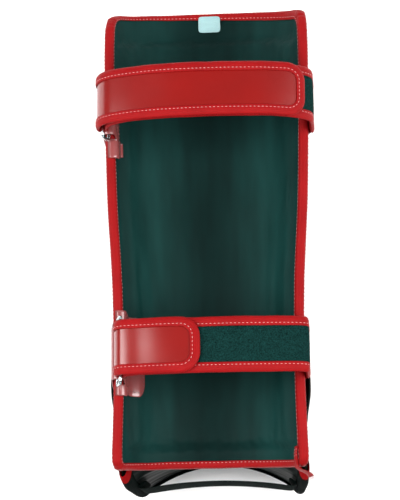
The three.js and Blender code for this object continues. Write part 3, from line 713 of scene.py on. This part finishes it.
def instep_tape_material(groups, red, black):
    """Tape of the instep's edge: red where it starts at the ankle end, black below."""
    material = woven_material(groups, "instep tape", black, 0.0011, 0.4, 0.9, False, Specular_IOR_Level=0.02)
    tree = material.node_tree
    height = add(tree, "ShaderNodeSeparateXYZ", {"Vector": object_place(tree)}).outputs["Z"]
    start = math_node(tree, "GREATER_THAN", height, RED_START)
    mixed = add(tree, "ShaderNodeMix", {"Factor": start}, data_type="RGBA")
    mixed.inputs["A"].default_value = (*black, 1)
    mixed.inputs["B"].default_value = (*red, 1)
    link(tree, mixed.outputs["Result"], tree.nodes["Principled BSDF"].inputs["Base Color"])
    return material


def lining_material(groups, colour):
    """Satin nylon over foam: dark, with a broad soft sheen from its gloss, and painted sheen: lighter towards the
    channel's walls and in lengthways streaks.
    """
    material, tree, shader = start_material(
        "lining nylon", colour, 0.42, Specular_IOR_Level=0.05
    )
    place = object_place(tree)
    uneven = group_node(tree, groups["uneven"], Size=9.0, Amount=0.7)
    link(tree, place, uneven.inputs["Place"])
    # Lengthways streaks of painted sheen, standing in for highlights on the satin's wrinkles.
    stretched = add(tree, "ShaderNodeMapping", {"Vector": place, "Scale": (1.0, 0.12, 0.5)})
    painted_streak_sheen = group_node(tree, groups["uneven"], Size=75.0, Amount=1.1)
    link(tree, stretched.outputs["Vector"], painted_streak_sheen.inputs["Place"])
    # Painted sheen: the colour grows lighter away from the channel's middle towards its walls, standing in for the
    # side lamps' light on the satin.
    across = add(tree, "ShaderNodeSeparateXYZ", {"Vector": place}).outputs["X"]
    from_middle = math_node(tree, "ABSOLUTE", math_node(tree, "ADD", across, -0.002))
    sides = add(tree, "ShaderNodeMapRange", {
        "Value": from_middle, "From Min": 0.005, "From Max": 0.06, "To Min": 0.7, "To Max": 1.7
    }, interpolation_type="SMOOTHSTEP")
    shade = math_node(tree, "MULTIPLY", uneven.outputs["Shade"], painted_streak_sheen.outputs["Shade"])
    shaded(tree, shader, colour, math_node(tree, "MULTIPLY", shade, sides.outputs["Result"]))
    rough = math_node(tree, "MULTIPLY_ADD", uneven.outputs["Mask"], 0.2, 0.4)
    link(tree, rough, shader.inputs["Roughness"])
    weave = group_node(tree, groups["weave"], Pitch=0.0007, Ribs=0.5)
    link(tree, place, weave.inputs["Place"])
    folds = add(tree, "ShaderNodeTexNoise", {"Vector": place, "Scale": 60.0, "Detail": 4.0})
    under = add(tree, "ShaderNodeBump", {"Strength": 0.25, "Distance": 0.001, "Height": folds.outputs["Fac"]})
    bump(tree, shader, weave.outputs["Height"], 0.25, 0.00015, under.outputs["Normal"])
    return material


def pile_material(groups, colour):
    """Fuzzy loops of the fastening tape."""
    material, tree, shader = start_material("loop pile", colour, 0.95, Specular_IOR_Level=0.02)
    place = object_place(tree)
    tufts = add(tree, "ShaderNodeTexNoise", {"Vector": place, "Scale": 750.0, "Detail": 6.0, "Roughness": 0.75})
    loops = add(tree, "ShaderNodeTexVoronoi", {"Vector": place, "Scale": 620.0})
    ramp = add(tree, "ShaderNodeMapRange", {"Value": tufts.outputs["Fac"], "From Min": 0.35, "From Max": 0.68, "To Min": 0.3, "To Max": 2.6})
    shaded(tree, shader, colour, ramp.outputs["Result"])
    height = math_node(tree, "ADD", tufts.outputs["Fac"], math_node(tree, "MULTIPLY", loops.outputs["Distance"], 0.6))
    bump(tree, shader, height, 0.9, 0.001)
    return material


def wire_material(colour):
    material, tree, shader = start_material("plated wire", colour, 0.16, Metallic=1.0)
    place = object_place(tree)
    worn = add(tree, "ShaderNodeTexNoise", {"Vector": place, "Scale": 260.0, "Detail": 5.0})
    rough = math_node(tree, "MULTIPLY_ADD", worn.outputs["Fac"], 0.25, 0.06)
    link(tree, rough, shader.inputs["Roughness"])
    shaded(tree, shader, colour, math_node(tree, "MULTIPLY_ADD", worn.outputs["Fac"], 0.3, 0.85))
    bump(tree, shader, worn.outputs["Fac"], 0.08, 0.0003)
    return material


def thread_material(name, colour):
    material, tree, shader = start_material(name, colour, 0.6, Sheen_Weight=0.2)
    place = object_place(tree)
    twist = add(tree, "ShaderNodeTexNoise", {"Vector": place, "Scale": 1500.0, "Detail": 2.0})
    shaded(tree, shader, colour, math_node(tree, "MULTIPLY_ADD", twist.outputs["Fac"], 0.5, 0.75))
    bump(tree, shader, twist.outputs["Fac"], 0.4, 0.0002)
    return material


def floor_material(colour):
    material, tree, shader = start_material("studio floor", colour, 0.75)
    place = object_place(tree)
    mottle = add(tree, "ShaderNodeTexNoise", {"Vector": place, "Scale": 3.0, "Detail": 3.0})
    shaded(tree, shader, colour, math_node(tree, "MULTIPLY_ADD", mottle.outputs["Fac"], 0.02, 0.99))
    return material


MATERIALS = {}


def make_materials(colours):
    groups = {"uneven": uneven_group(), "weave": weave_group(), "grain": grain_group()}
    red, tape, lining = tuple(colours.red), tuple(colours.tape), tuple(colours.lining)
    black, pile, thread = tuple(colours.black), tuple(colours.pile), tuple(colours.thread)
    MATERIALS["red"] = coated_material(groups, "red coated sheet", red, 0.3, 900.0, 0.5, 0.75)
    # The tabs' colour is their red plus a painted highlight that lifts it to pale pink.
    MATERIALS["tab"] = coated_material(groups, "red coated tab", tuple(colours.tab), 0.24, 900.0, 0.5, 1.0)
    MATERIALS["black"] = coated_material(groups, "black coated cloth", black, 0.42, 1100.0, 0.9, 0.0)
    MATERIALS["tape"] = woven_material(
        groups, "red binding tape", tape, 0.0009, 0.8, 0.5, True, Specular_IOR_Level=0.08
    )
    MATERIALS["tape_plain"] = instep_tape_material(groups, tape, black)
    MATERIALS["elastic"] = woven_material(
        groups, "ribbed elastic", tuple(colours.elastic), 0.0014, 1.6, 0.9, False, Specular_IOR_Level=0.02
    )
    MATERIALS["label"] = woven_material(
        groups, "plain label cloth", tuple(colours.label), 0.0006, 0.2, 0.55, False, Sheen_Weight=0.1
    )
    MATERIALS["lining"] = lining_material(groups, lining)
    MATERIALS["pile"] = pile_material(groups, pile)
    MATERIALS["wire"] = wire_material(tuple(colours.wire))
    MATERIALS["thread"] = thread_material("pale thread", thread)
    MATERIALS["holes"] = thread_material("dark thread", (0.03, 0.006, 0.008))


# Settings that a user would change
def colour(label, words, default):
    return bpy.props.FloatVectorProperty(
        name=label, description=words, default=default, subtype="COLOR", size=3, min=0, max=1
    )


class GuardColours(bpy.types.PropertyGroup):
    """Colours of the guard's cloths and fittings"""

    red: colour("Red sheet", "Coated sheet of the shell, straps and tabs", (0.18, 0.0022, 0.001))
    tape: colour("Binding tape", "Woven tape folded round the edges", (0.24, 0.0035, 0.0045))
    lining: colour("Lining", "Satin nylon on the leg side", (0.0022, 0.015, 0.0135))
    # Red with a pale pink lift in green and blue: the tabs' own red plus a painted highlight for the sheen on their
    # gloss.
    tab: colour("Ring tabs", "Glossy patches that hold the rings", (0.22, 0.05, 0.05))
    black: colour("Black cloth", "Coated cloth of the instep pad", (0.0015, 0.0035, 0.003))
    elastic: colour("Elastic", "Webbing of the band under the foot", (0.002, 0.006, 0.005))
    pile: colour("Fastening tape", "Pile of the hook and loop tape", (0.003, 0.0165, 0.015))
    label: colour("Label", "Plain tag at the knee end", (0.24, 0.4, 0.41))
    thread: colour("Thread", "Stitches of the bindings", (0.5, 0.26, 0.26))
    wire: colour("Wire", "Plated wire of the rings", (0.56, 0.66, 0.68))
    floor: colour("Floor", "Studio floor", (0.95, 0.95, 0.95))


class GuardSizes(bpy.types.PropertyGroup):
    """Sizes of the stitching, the folds and the stage"""

    stitch_length: bpy.props.FloatProperty(
        name="Stitch length", description="Length of one stitch in millimetres", default=2.3, min=1, max=6
    )
    stitch_pitch: bpy.props.FloatProperty(
        name="Stitch pitch", description="Distance between stitches in millimetres", default=3.6, min=2, max=10
    )
    fold_depth: bpy.props.FloatProperty(
        name="Fold depth", description="Depth of the lining's soft folds in millimetres", default=0.9, min=0, max=3
    )
    camera_height: bpy.props.FloatProperty(
        name="Camera height", description="Height of the camera over the floor", default=2.2, unit="LENGTH"
    )
    camera_roll: bpy.props.FloatProperty(
        name="Camera roll", description="Turn of the camera about its line of sight", default=math.radians(-1.6), subtype="ANGLE"
    )
    camera_side: bpy.props.FloatProperty(
        name="Camera side", description="Angle of the camera to the strap side", default=math.radians(4), subtype="ANGLE"
    )

# Shapes of the cloth
def shell_unevenness(flat, spot, facing):
    """Low unevenness of the padded outside, with small puckers beside the binding."""
    if facing > -0.3:
        return 0.0
    share = flat.x / HALF_GIRTH
    inside = inside_margins(share, flat.y, TAPE_WIDTH, TAPE_WIDTH, TAPE_WIDTH, KNEE_CORNER)
    near = smoothstep(inside, -1, 3) * (1 - smoothstep(inside, 8, 22))
    puckers = noise.noise(Vector((flat.x / 5, flat.y / 5, 3)))
    broad = noise.noise(Vector((flat.x / 45, flat.y / 60, 8)))
    return 0.7 * near * puckers + 0.7 * smoothstep(inside, 5, 25) * broad


def lining_folds(depth):
    """Soft lengthways folds of the lining over its foam, and gathers along the sewn groove."""

    def amount(flat, spot, facing):
        if facing < 0.3:
            return 0.0
        inside = cushion_inside(flat.x / HALF_GIRTH, flat.y)
        on_cushion = smoothstep(inside, 3, 12)
        long_folds = noise.noise(Vector((flat.x / 13, flat.y / 75, 1)))
        sharp = 1 - abs(noise.noise(Vector((flat.x / 22, flat.y / 60, 5)))) * 4
        broad = noise.noise(Vector((flat.x / 50, flat.y / 55, 9)))
        gathers = noise.noise(Vector((flat.x / 6, flat.y / 6, 2)))
        edge = smoothstep(inside, -5, 2) * (1 - smoothstep(inside, 8, 20))
        folds = 0.5 * long_folds + 0.45 * max(sharp, 0) * smoothstep(abs(flat.x), 20, 60) + 0.8 * broad
        return depth * (on_cushion * folds + 0.8 * edge * gathers)

    return amount


def pad_folds(flat, spot, facing):
    """Folds across the bend of the instep pad, and puckers by its binding."""
    bend = 1 - smoothstep(abs(spot.y - 12), 8, 42)
    folds = noise.noise(Vector((spot.x / 55, (spot.y + spot.z) / 8, 4)))
    broad = noise.noise(Vector((spot.x / 30, spot.y / 30, spot.z / 30)))
    return 0.9 * bend * folds + 0.6 * broad


def tape_waviness(i, step, corner):
    """How far the rim's tape stands out, in millimetres: gathers at the corners and slow waves between them."""
    s = i * step
    slow = 0.35 * noise.noise(Vector((s / 24, 2, 0)))
    gathers = 0.9 * noise.noise(Vector((s / 3.2, 5, 0)))
    return slow + gathers * corner


def tape_share(flat):
    """Width of the rim's tape as a share: full on the strap side, narrow on the ring side and at the ankle end."""
    share = flat.x / HALF_GIRTH
    side = lerp(0.42, 1.0, smoothstep(share, -0.9, 0.9))
    ankle = 1 - smoothstep(flat.y - ankle_end(share), 4, 22)
    return lerp(side, 0.6, ankle)


def corner_share(flat):
    """1 at the corners of the rim's outline and 0 away from them."""
    share = flat.x / HALF_GIRTH
    to_ankle = math.hypot(HALF_GIRTH - abs(flat.x), flat.y - ankle_end(share))
    to_knee = math.hypot(HALF_GIRTH - abs(flat.x), knee_end(share) - flat.y)
    return 1 - smoothstep(min(to_ankle, to_knee), 8, 30)


# Operators
def settings(context):
    return context.scene.guard_sizes


def finished(name, bm, material, nodes=()):
    piece = new_piece(name, bm, MATERIALS[material])
    if nodes:
        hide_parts(*nodes)
    return piece


class GUARD_OT_shin(bpy.types.Operator):
    """Makes the padded shell and the lining with its cushion"""

    bl_idname = "guard.shin"
    bl_label = "Shell and lining"

    def execute(self, context):
        shell = refined_copy("shin_shell", 2)
        displace(shell, shell_unevenness)
        finished("shell_cover", shell, "red", ["shin_shell"])
        lining = refined_copy("lining_cushion", 3)
        displace(lining, lining_folds(settings(context).fold_depth))
        finished("lining_cover", lining, "lining", ["lining_cushion"])
        return {"FINISHED"}


class GUARD_OT_rim(bpy.types.Operator):
    """Makes the tape folded round the shin part's rim, with its stitches"""

    bl_idname = "guard.rim"
    bl_label = "Rim binding"

    def execute(self, context):
        sizes = settings(context)
        step = 1.2
        outline = rim_outline(step)
        outs = [outward(outline, i, True) for i in range(len(outline))]
        corners = [corner_share(flat) for flat in outline]
        widths = [tape_share(flat) for flat in outline]
        profile = rounded_tape(TAPE_WIDTH, -TAPE_FRONT, TAPE_INNER, TAPE_FACE)

        def place(i, point, _):
            wavy = tape_waviness(i, step, corners[i])
            puff = 0.18 * math.sin(i * step / sizes.stitch_pitch * 2 * math.pi) * (1 if point[0] > -6.5 else 0)
            height = point[1] + (puff + 0.5 * wavy * corners[i]) * (1 if point[1] > 0 else -1)
            out = point[0] * widths[i] if point[0] < 0 else point[0]
            return on_shin(outline[i] + outs[i] * (out + wavy), height)

        bm = sweep(len(outline), profile, place, True)
        piece = finished("rim_binding", bm, "tape", ["edge_binding"])
        scale_uv(piece, len(outline) * step, 30)
        rows = []
        for height in (TAPE_INNER + 0.1, -TAPE_FRONT - 0.1):
            places = []
            for i, flat in enumerate(outline):
                if i % 2 == 0:
                    spot = flat + outs[i] * (0.5 * tape_waviness(i, step, corners[i]) - (TAPE_WIDTH - 2.4) * widths[i])
                    low = to_frame(on_shin(spot, height))
                    high = to_frame(on_shin(spot, height * 1.1))
                    places.append((low, (high - low).normalized()))
            rows += rows_along(places, sizes.stitch_pitch, True)
        bm = stitch_row(rows, sizes.stitch_length, 0.55, 0.5)
        finished("rim_stitches", bm, "thread")
        self.make_tail(sizes)
        self.make_threads()
        return {"FINISHED"}

    def make_tail(self, sizes):
        """The rim tape's end, lapped over the ankle end's corner on the strap side and hanging below it."""
        side = HALF_GIRTH - 9
        path = [(side + 1, 9, 4.7), (side + 1, 5, 5.0), (side, 0, 5.0), (side, -6, 4.8), (side - 1, -9.5, 3.5),
                (side - 2, -11.5, 0.5), (side - 3, -12.5, -4), (side - 3.5, -14, -8), (side - 4.5, -16.5, -11)]
        line = resample([Vector(p) for p in path], 0.8, False)
        profile = [(-4.2, -0.5), (-1.4, -0.6), (1.4, -0.6), (4.2, -0.5), (4.5, 0), (4.2, 0.5), (1.4, 0.6), (-1.4, 0.6),
                   (-4.2, 0.5), (-4.5, 0)]

        def place(i, point, _):
            curl = 0.8 * noise.noise(Vector((i / 5, point[0] / 4, 7)))
            return on_shin((line[i].x + point[0], line[i].y), line[i].z + point[1] + curl)

        bm = sweep(len(line), profile, place, False)
        piece = finished("tape_tail", bm, "tape")
        scale_uv(piece, len(line) * 0.8, 20)
        places = []
        for across in (-2.8, 2.8):
            for spot in line[2:14]:
                low = to_frame(on_shin((spot.x + across, spot.y), spot.z + 0.7))
                high = to_frame(on_shin((spot.x + across, spot.y), spot.z + 1.7))
                places.append((low, (high - low).normalized()))
        bm = stitch_row(rows_along(places[:12], 2.6) + rows_along(places[12:], 2.6), 1.7, 0.6, 0.5)
        finished("tail_stitches", bm, "thread")

    def make_threads(self):
        """Loose threads at the end of the rim's tape."""
        bm = bmesh.new()
        side = HALF_GIRTH - 13.5
        strands = []
        for k in range(9):
            start = to_frame(on_shin((side + k - 4, -16.5), -11))
            strands.append([start + Vector((0, -0.0006 * t, -0.0002 * t)) for t in range(5)])
        for strand in strands:
            for a, b in zip(strand, strand[1:]):
                turn = (b - a).to_track_quat("Z", "Y").to_matrix().to_4x4()
                bmesh.ops.create_cone(
                    bm, cap_ends=True, segments=6, radius1=0.13 * MM, radius2=0.13 * MM, depth=(b - a).length * 1.2,
                    matrix=Matrix.Translation((a + b) / 2) @ turn,
                )
        finished("loose_threads", bm, "thread")


class GUARD_OT_instep(bpy.types.Operator):
    """Makes the instep pad, its binding and the elastic band"""

    bl_idname = "guard.instep"
    bl_label = "Instep pad"

    def execute(self, context):
        pad = refined_copy("instep_pad", 3)
        displace(pad, pad_folds)
        finished("instep_cover", pad, "black", ["instep_pad"])
        binding = refined_copy("instep_binding", 2)
        finished("instep_edge", binding, "tape_plain", ["instep_binding"])
        band = refined_copy("sole_band", 3)
        finished("elastic_band", band, "elastic", ["sole_band"])
        return {"FINISHED"}


class GUARD_OT_label(bpy.types.Operator):
    """Makes the plain tag at the knee end"""

    bl_idname = "guard.label"
    bl_label = "Label"

    def execute(self, context):
        tag = refined_copy("label", 3)
        finished("plain_tag", tag, "label", ["label"])
        return {"FINISHED"}


class GUARD_OT_straps(bpy.types.Operator):
    """Makes both straps: coated sheet, folded tape, stitches and fastening tapes"""

    bl_idname = "guard.straps"
    bl_label = "Straps"

    def execute(self, context):
        for name, sheet in STRAP_LINES.items():
            self.make_core(name, sheet)
            self.make_binding(context, name, sheet)
            fastener_half = CORE_WIDTH / 2 - STRAP_TAPE - 0.3
            loop_from = sheet.stops[sheet.tape_from] + 1
            loop_to = sheet.stops[sheet.fold_at - 12]
            self.make_fastener(name, "loop_tape", sheet, loop_from, loop_to, fastener_half)
            hook_to = sheet.end - 1.2 * STRAP_TIP
            self.make_fastener(name, "hook_tape", sheet, hook_to - 70, hook_to, fastener_half - STRAP_TIP / 3)
        return {"FINISHED"}

    def make_core(self, name, sheet):
        stations = sheet.lengths(0, sheet.end, 2.5)
        across = [i / 12 - 1 for i in range(25)]
        profile = [(a, -STRAP_CORE / 2) for a in across] + [(-a, STRAP_CORE / 2) for a in across]

        def place(i, point, _):
            return sheet.place(stations[i], point[0] * sheet.half(stations[i]), point[1])

        bm = sweep(len(stations), profile, place, False)
        finished(f"{name}_strap_sheet", bm, "red", [f"{name}_strap"])

    def make_binding(self, context, name, sheet):
        sizes = settings(context)
        step = 1.5
        outline = resample(sheet.tip_outline(2.0, sheet.stops[sheet.tape_from]), step, False)
        outs = [outward(outline, i, False) for i in range(len(outline))]
        profile = rounded_tape(STRAP_TAPE, -TAPE_HALF, TAPE_HALF, TAPE_FACE)

        def place(i, point, _):
            wavy = 0.3 * noise.noise(Vector((i * step / 16, sheet.end, 0)))
            flat = outline[i] + outs[i] * (point[0] + wavy)
            return sheet.place(flat.x, flat.y, point[1])

        bm = sweep(len(outline), profile, place, False)
        piece = finished(f"{name}_strap_tape", bm, "tape", [f"{name}_strap_binding"])
        scale_uv(piece, len(outline) * step, 28)
        rows = []
        for side in (1, -1):
            places = []
            for i, flat in enumerate(outline[1:-1], 1):
                spot = flat - outs[i] * (STRAP_TAPE - 2.3)
                low = to_frame(sheet.place(spot.x, spot.y, side * (TAPE_HALF + 0.08)))
                high = to_frame(sheet.place(spot.x, spot.y, side * (TAPE_HALF + 1.08)))
                places.append((low, (high - low).normalized()))
            rows += rows_along(places, sizes.stitch_pitch)
        bm = stitch_row(rows, sizes.stitch_length, 0.6, 0.5)
        finished(f"{name}_strap_stitches", bm, "thread")

    def make_fastener(self, name, kind, sheet, low, high, half):
        stations = sheet.lengths(low, high, 1.6)
        base = STRAP_CORE / 2 + 0.3
        across = [i / 10 - 1 for i in range(21)]
        profile = [(a, base) for a in across] + [(-a, base + 0.85) for a in across]

        def place(i, point, corner):
            length, side = stations[i], point[0] * half
            pile = 0.0
            if point[1] > base and 0 < i < len(stations) - 1:
                pile = 0.3 * noise.noise(Vector((length * 0.9, side * 0.9, 0)))
            return sheet.place(length, side, point[1] + pile)

        bm = sweep(len(stations), profile, place, False)
        finished(f"{name}_{kind}_pile", bm, "pile", [f"{name}_{kind}"])


class GUARD_OT_rings(bpy.types.Operator):
    """Makes the wire rings, the tabs that hold them and the straps' anchors"""

    bl_idname = "guard.rings"
    bl_label = "Rings, tabs and anchors"

    def execute(self, context):
        sizes = settings(context)
        for name, strap in STRAPS.items():
            ring = refined_copy(f"{name}_ring", 2)
            finished(f"{name}_wire_ring", ring, "wire", [f"{name}_ring"])
            tab = refined_copy(f"{name}_ring_tab", 2)
            finished(f"{name}_tab_sheet", tab, "tab", [f"{name}_ring_tab"])
            self.lap_tab(name, strap)
            anchor = refined_copy(f"{name}_anchor", 2)
            finished(f"{name}_anchor_patch", anchor, "red", [f"{name}_anchor"])
            self.stitch_tab(name, strap, sizes)
            self.stitch_anchor(name, strap, sizes)
        return {"FINISHED"}

    def lap_tab(self, name, strap):
        """The tab's patch where it laps over the rim's tape, above and below the strap."""
        made = bmesh.new()
        path = list(RIM_LAP) + [(3.0 + i, None) for i in range(14)]
        shares = [i / 8 for i in range(9)]
        profile = [(a, 0.0) for a in shares] + [(1 - a, 0.9) for a in shares]
        for start, end in zip(strap["lap"], (-RING_HALF, RING_HALF)):

            def place(i, point, _):
                inset, height = path[i]
                drawn_in = LAP_TAPER * smoothstep(inset, 0, path[-1][0])
                free = start - math.copysign(drawn_in, start)
                along = strap["centre"] + lerp(end, free, point[0])
                if height is None:
                    height = tab_top(inset, along) + 0.15
                return on_shin((inset - HALF_GIRTH, along), height + point[1])

            part = sweep(len(path), profile, place, False)
            mesh = bpy.data.meshes.new("lap")
            part.to_mesh(mesh)
            part.free()
            made.from_mesh(mesh)
            bpy.data.meshes.remove(mesh)
        finished(f"{name}_tab_lap", made, "tab")

    def stitch_tab(self, name, strap, sizes):
        """Dark stitches inside the edge of the tab's part on the lining."""
        reach = strap["tab"] - 3.5
        half = TAB_WIDTH / 2 - 4
        turns = [i / 6 * math.pi / 2 for i in range(7)]
        path = [(3.0, -half)] + [(reach - 7 + 7 * math.sin(t), -half + 7 - 7 * math.cos(t)) for t in turns]
        path += [(r, -s) for r, s in reversed(path)]
        places = []
        for inset, across in path:
            flat = (inset - HALF_GIRTH, strap["centre"] + across)
            height = tab_top(inset, flat[1])
            low = to_frame(on_shin(flat, height + 0.2))
            high = to_frame(on_shin(flat, height + 1.2))
            places.append((low, (high - low).normalized()))
        bm = stitch_row(rows_along(places, sizes.stitch_pitch), 1.4, 0.9, 0.6)
        finished(f"{name}_tab_stitches", bm, "holes")

    def stitch_anchor(self, name, strap, sizes):
        """Pale stitches along the edges of the patch over the strap's sewn end."""
        half = ANCHOR_WIDTH / 2 - 3
        places = []
        for reach, across in ((20, -half), (40, -half), (40, half), (20, half)):
            share = 1 - reach / HALF_GIRTH
            along = strap["centre"] + across
            height = front_height(share, along) + SEAT_GAP + STRAP_CORE
            flat = (share * HALF_GIRTH, along)
            low = to_frame(on_shin(flat, -height))
            high = to_frame(on_shin(flat, -height - 1))
            places.append((low, (high - low).normalized()))
        bm = stitch_row(rows_along(places, sizes.stitch_pitch), sizes.stitch_length, 0.75, 0.6)
        finished(f"{name}_anchor_stitches", bm, "thread")


def area_light(name, place, target, size, power, tint):
    light = bpy.data.lights.new(name, "AREA")
    light.shape = "RECTANGLE"
    light.size, light.size_y = size
    light.energy = power
    light.color = tint
    lamp = bpy.data.objects.new(name, light)
    lamp.location = place
    lamp.rotation_euler = (Vector(target) - Vector(place)).to_track_quat("-Z", "Y").to_euler()
    bpy.context.scene.collection.objects.link(lamp)
    return lamp


class GUARD_OT_stage(bpy.types.Operator):
    """Makes the floor, the studio lights and the camera"""

    bl_idname = "guard.stage"
    bl_label = "Stage"

    def execute(self, context):
        sizes = settings(context)
        bm = bmesh.new()
        bmesh.ops.create_grid(bm, x_segments=8, y_segments=8, size=4)
        bmesh.ops.translate(bm, verts=bm.verts, vec=(0, 0, -0.0002))
        mesh = bpy.data.meshes.new("floor")
        bm.to_mesh(mesh)
        bm.free()
        floor = bpy.data.objects.new("floor", mesh)
        context.scene.collection.objects.link(floor)
        floor.data.materials.append(floor_material(tuple(context.scene.guard_colours.floor)))
        middle = (0, 0, 0.1)
        area_light("left softbox", (-1.3, 0.1, 1.5), middle, (1.5, 1.6), 62, (1, 0.99, 0.98))
        area_light("right softbox", (1.3, 0.1, 1.5), middle, (1.5, 1.6), 62, (1, 0.99, 0.98))
        area_light("knee softbox", (0.0, 2.0, 1.3), middle, (2.0, 0.8), 10, (0.97, 0.99, 1))
        area_light("ankle softbox", (0.0, -2.0, 1.3), middle, (2.0, 0.8), 10, (0.97, 0.99, 1))
        world = bpy.data.worlds.new("studio")
        world.use_nodes = True
        world.node_tree.nodes["Background"].inputs["Color"].default_value = (0.93, 0.97, 1, 1)
        world.node_tree.nodes["Background"].inputs["Strength"].default_value = 0.12
        context.scene.world = world
        context.scene.view_settings.view_transform = "Standard"
        camera = bpy.data.cameras.new("camera")
        camera.sensor_width = 36
        camera.lens = camera.sensor_width * (sizes.camera_height - STRAP_PLANE) / FRAME_HEIGHT
        camera.clip_end = 30
        eye = bpy.data.objects.new("camera", camera)
        side = sizes.camera_side
        aim = Vector((-0.0045, 0.0048, STRAP_PLANE))
        eye.location = aim + Vector((math.sin(side), 0, math.cos(side))) * (sizes.camera_height - STRAP_PLANE)
        turn = Matrix.Rotation(side, 3, "Y") @ Matrix.Rotation(sizes.camera_roll, 3, "Z")
        eye.rotation_euler = turn.to_euler()
        context.scene.collection.objects.link(eye)
        context.scene.camera = eye
        return {"FINISHED"}


class GUARD_PT_panel(bpy.types.Panel):
    """Lists the guard's steps and settings"""

    bl_idname = "GUARD_PT_panel"
    bl_label = "Shin and instep guard"
    bl_space_type = "VIEW_3D"
    bl_region_type = "UI"
    bl_category = "Guard"

    def draw(self, context):
        for step in STEPS:
            self.layout.operator(step.bl_idname)
        for group in (context.scene.guard_sizes, context.scene.guard_colours):
            for name in group.__annotations__:
                self.layout.prop(group, name)


STEPS = (GUARD_OT_shin, GUARD_OT_rim, GUARD_OT_instep, GUARD_OT_label, GUARD_OT_straps, GUARD_OT_rings, GUARD_OT_stage)
CLASSES = (GuardColours, GuardSizes, *STEPS, GUARD_PT_panel)


def register():
    for cls in CLASSES:
        bpy.utils.register_class(cls)
    bpy.types.Scene.guard_colours = bpy.props.PointerProperty(type=GuardColours)
    bpy.types.Scene.guard_sizes = bpy.props.PointerProperty(type=GuardSizes)


def unregister():
    del bpy.types.Scene.guard_sizes
    del bpy.types.Scene.guard_colours
    for cls in reversed(CLASSES):
        bpy.utils.unregister_class(cls)


def main():
    register()
    make_materials(bpy.context.scene.guard_colours)
    bpy.ops.guard.shin()
    bpy.ops.guard.rim()
    bpy.ops.guard.instep()
    bpy.ops.guard.label()
    bpy.ops.guard.straps()
    bpy.ops.guard.rings()
    bpy.ops.guard.stage()


if __name__ == "__main__":
    main()
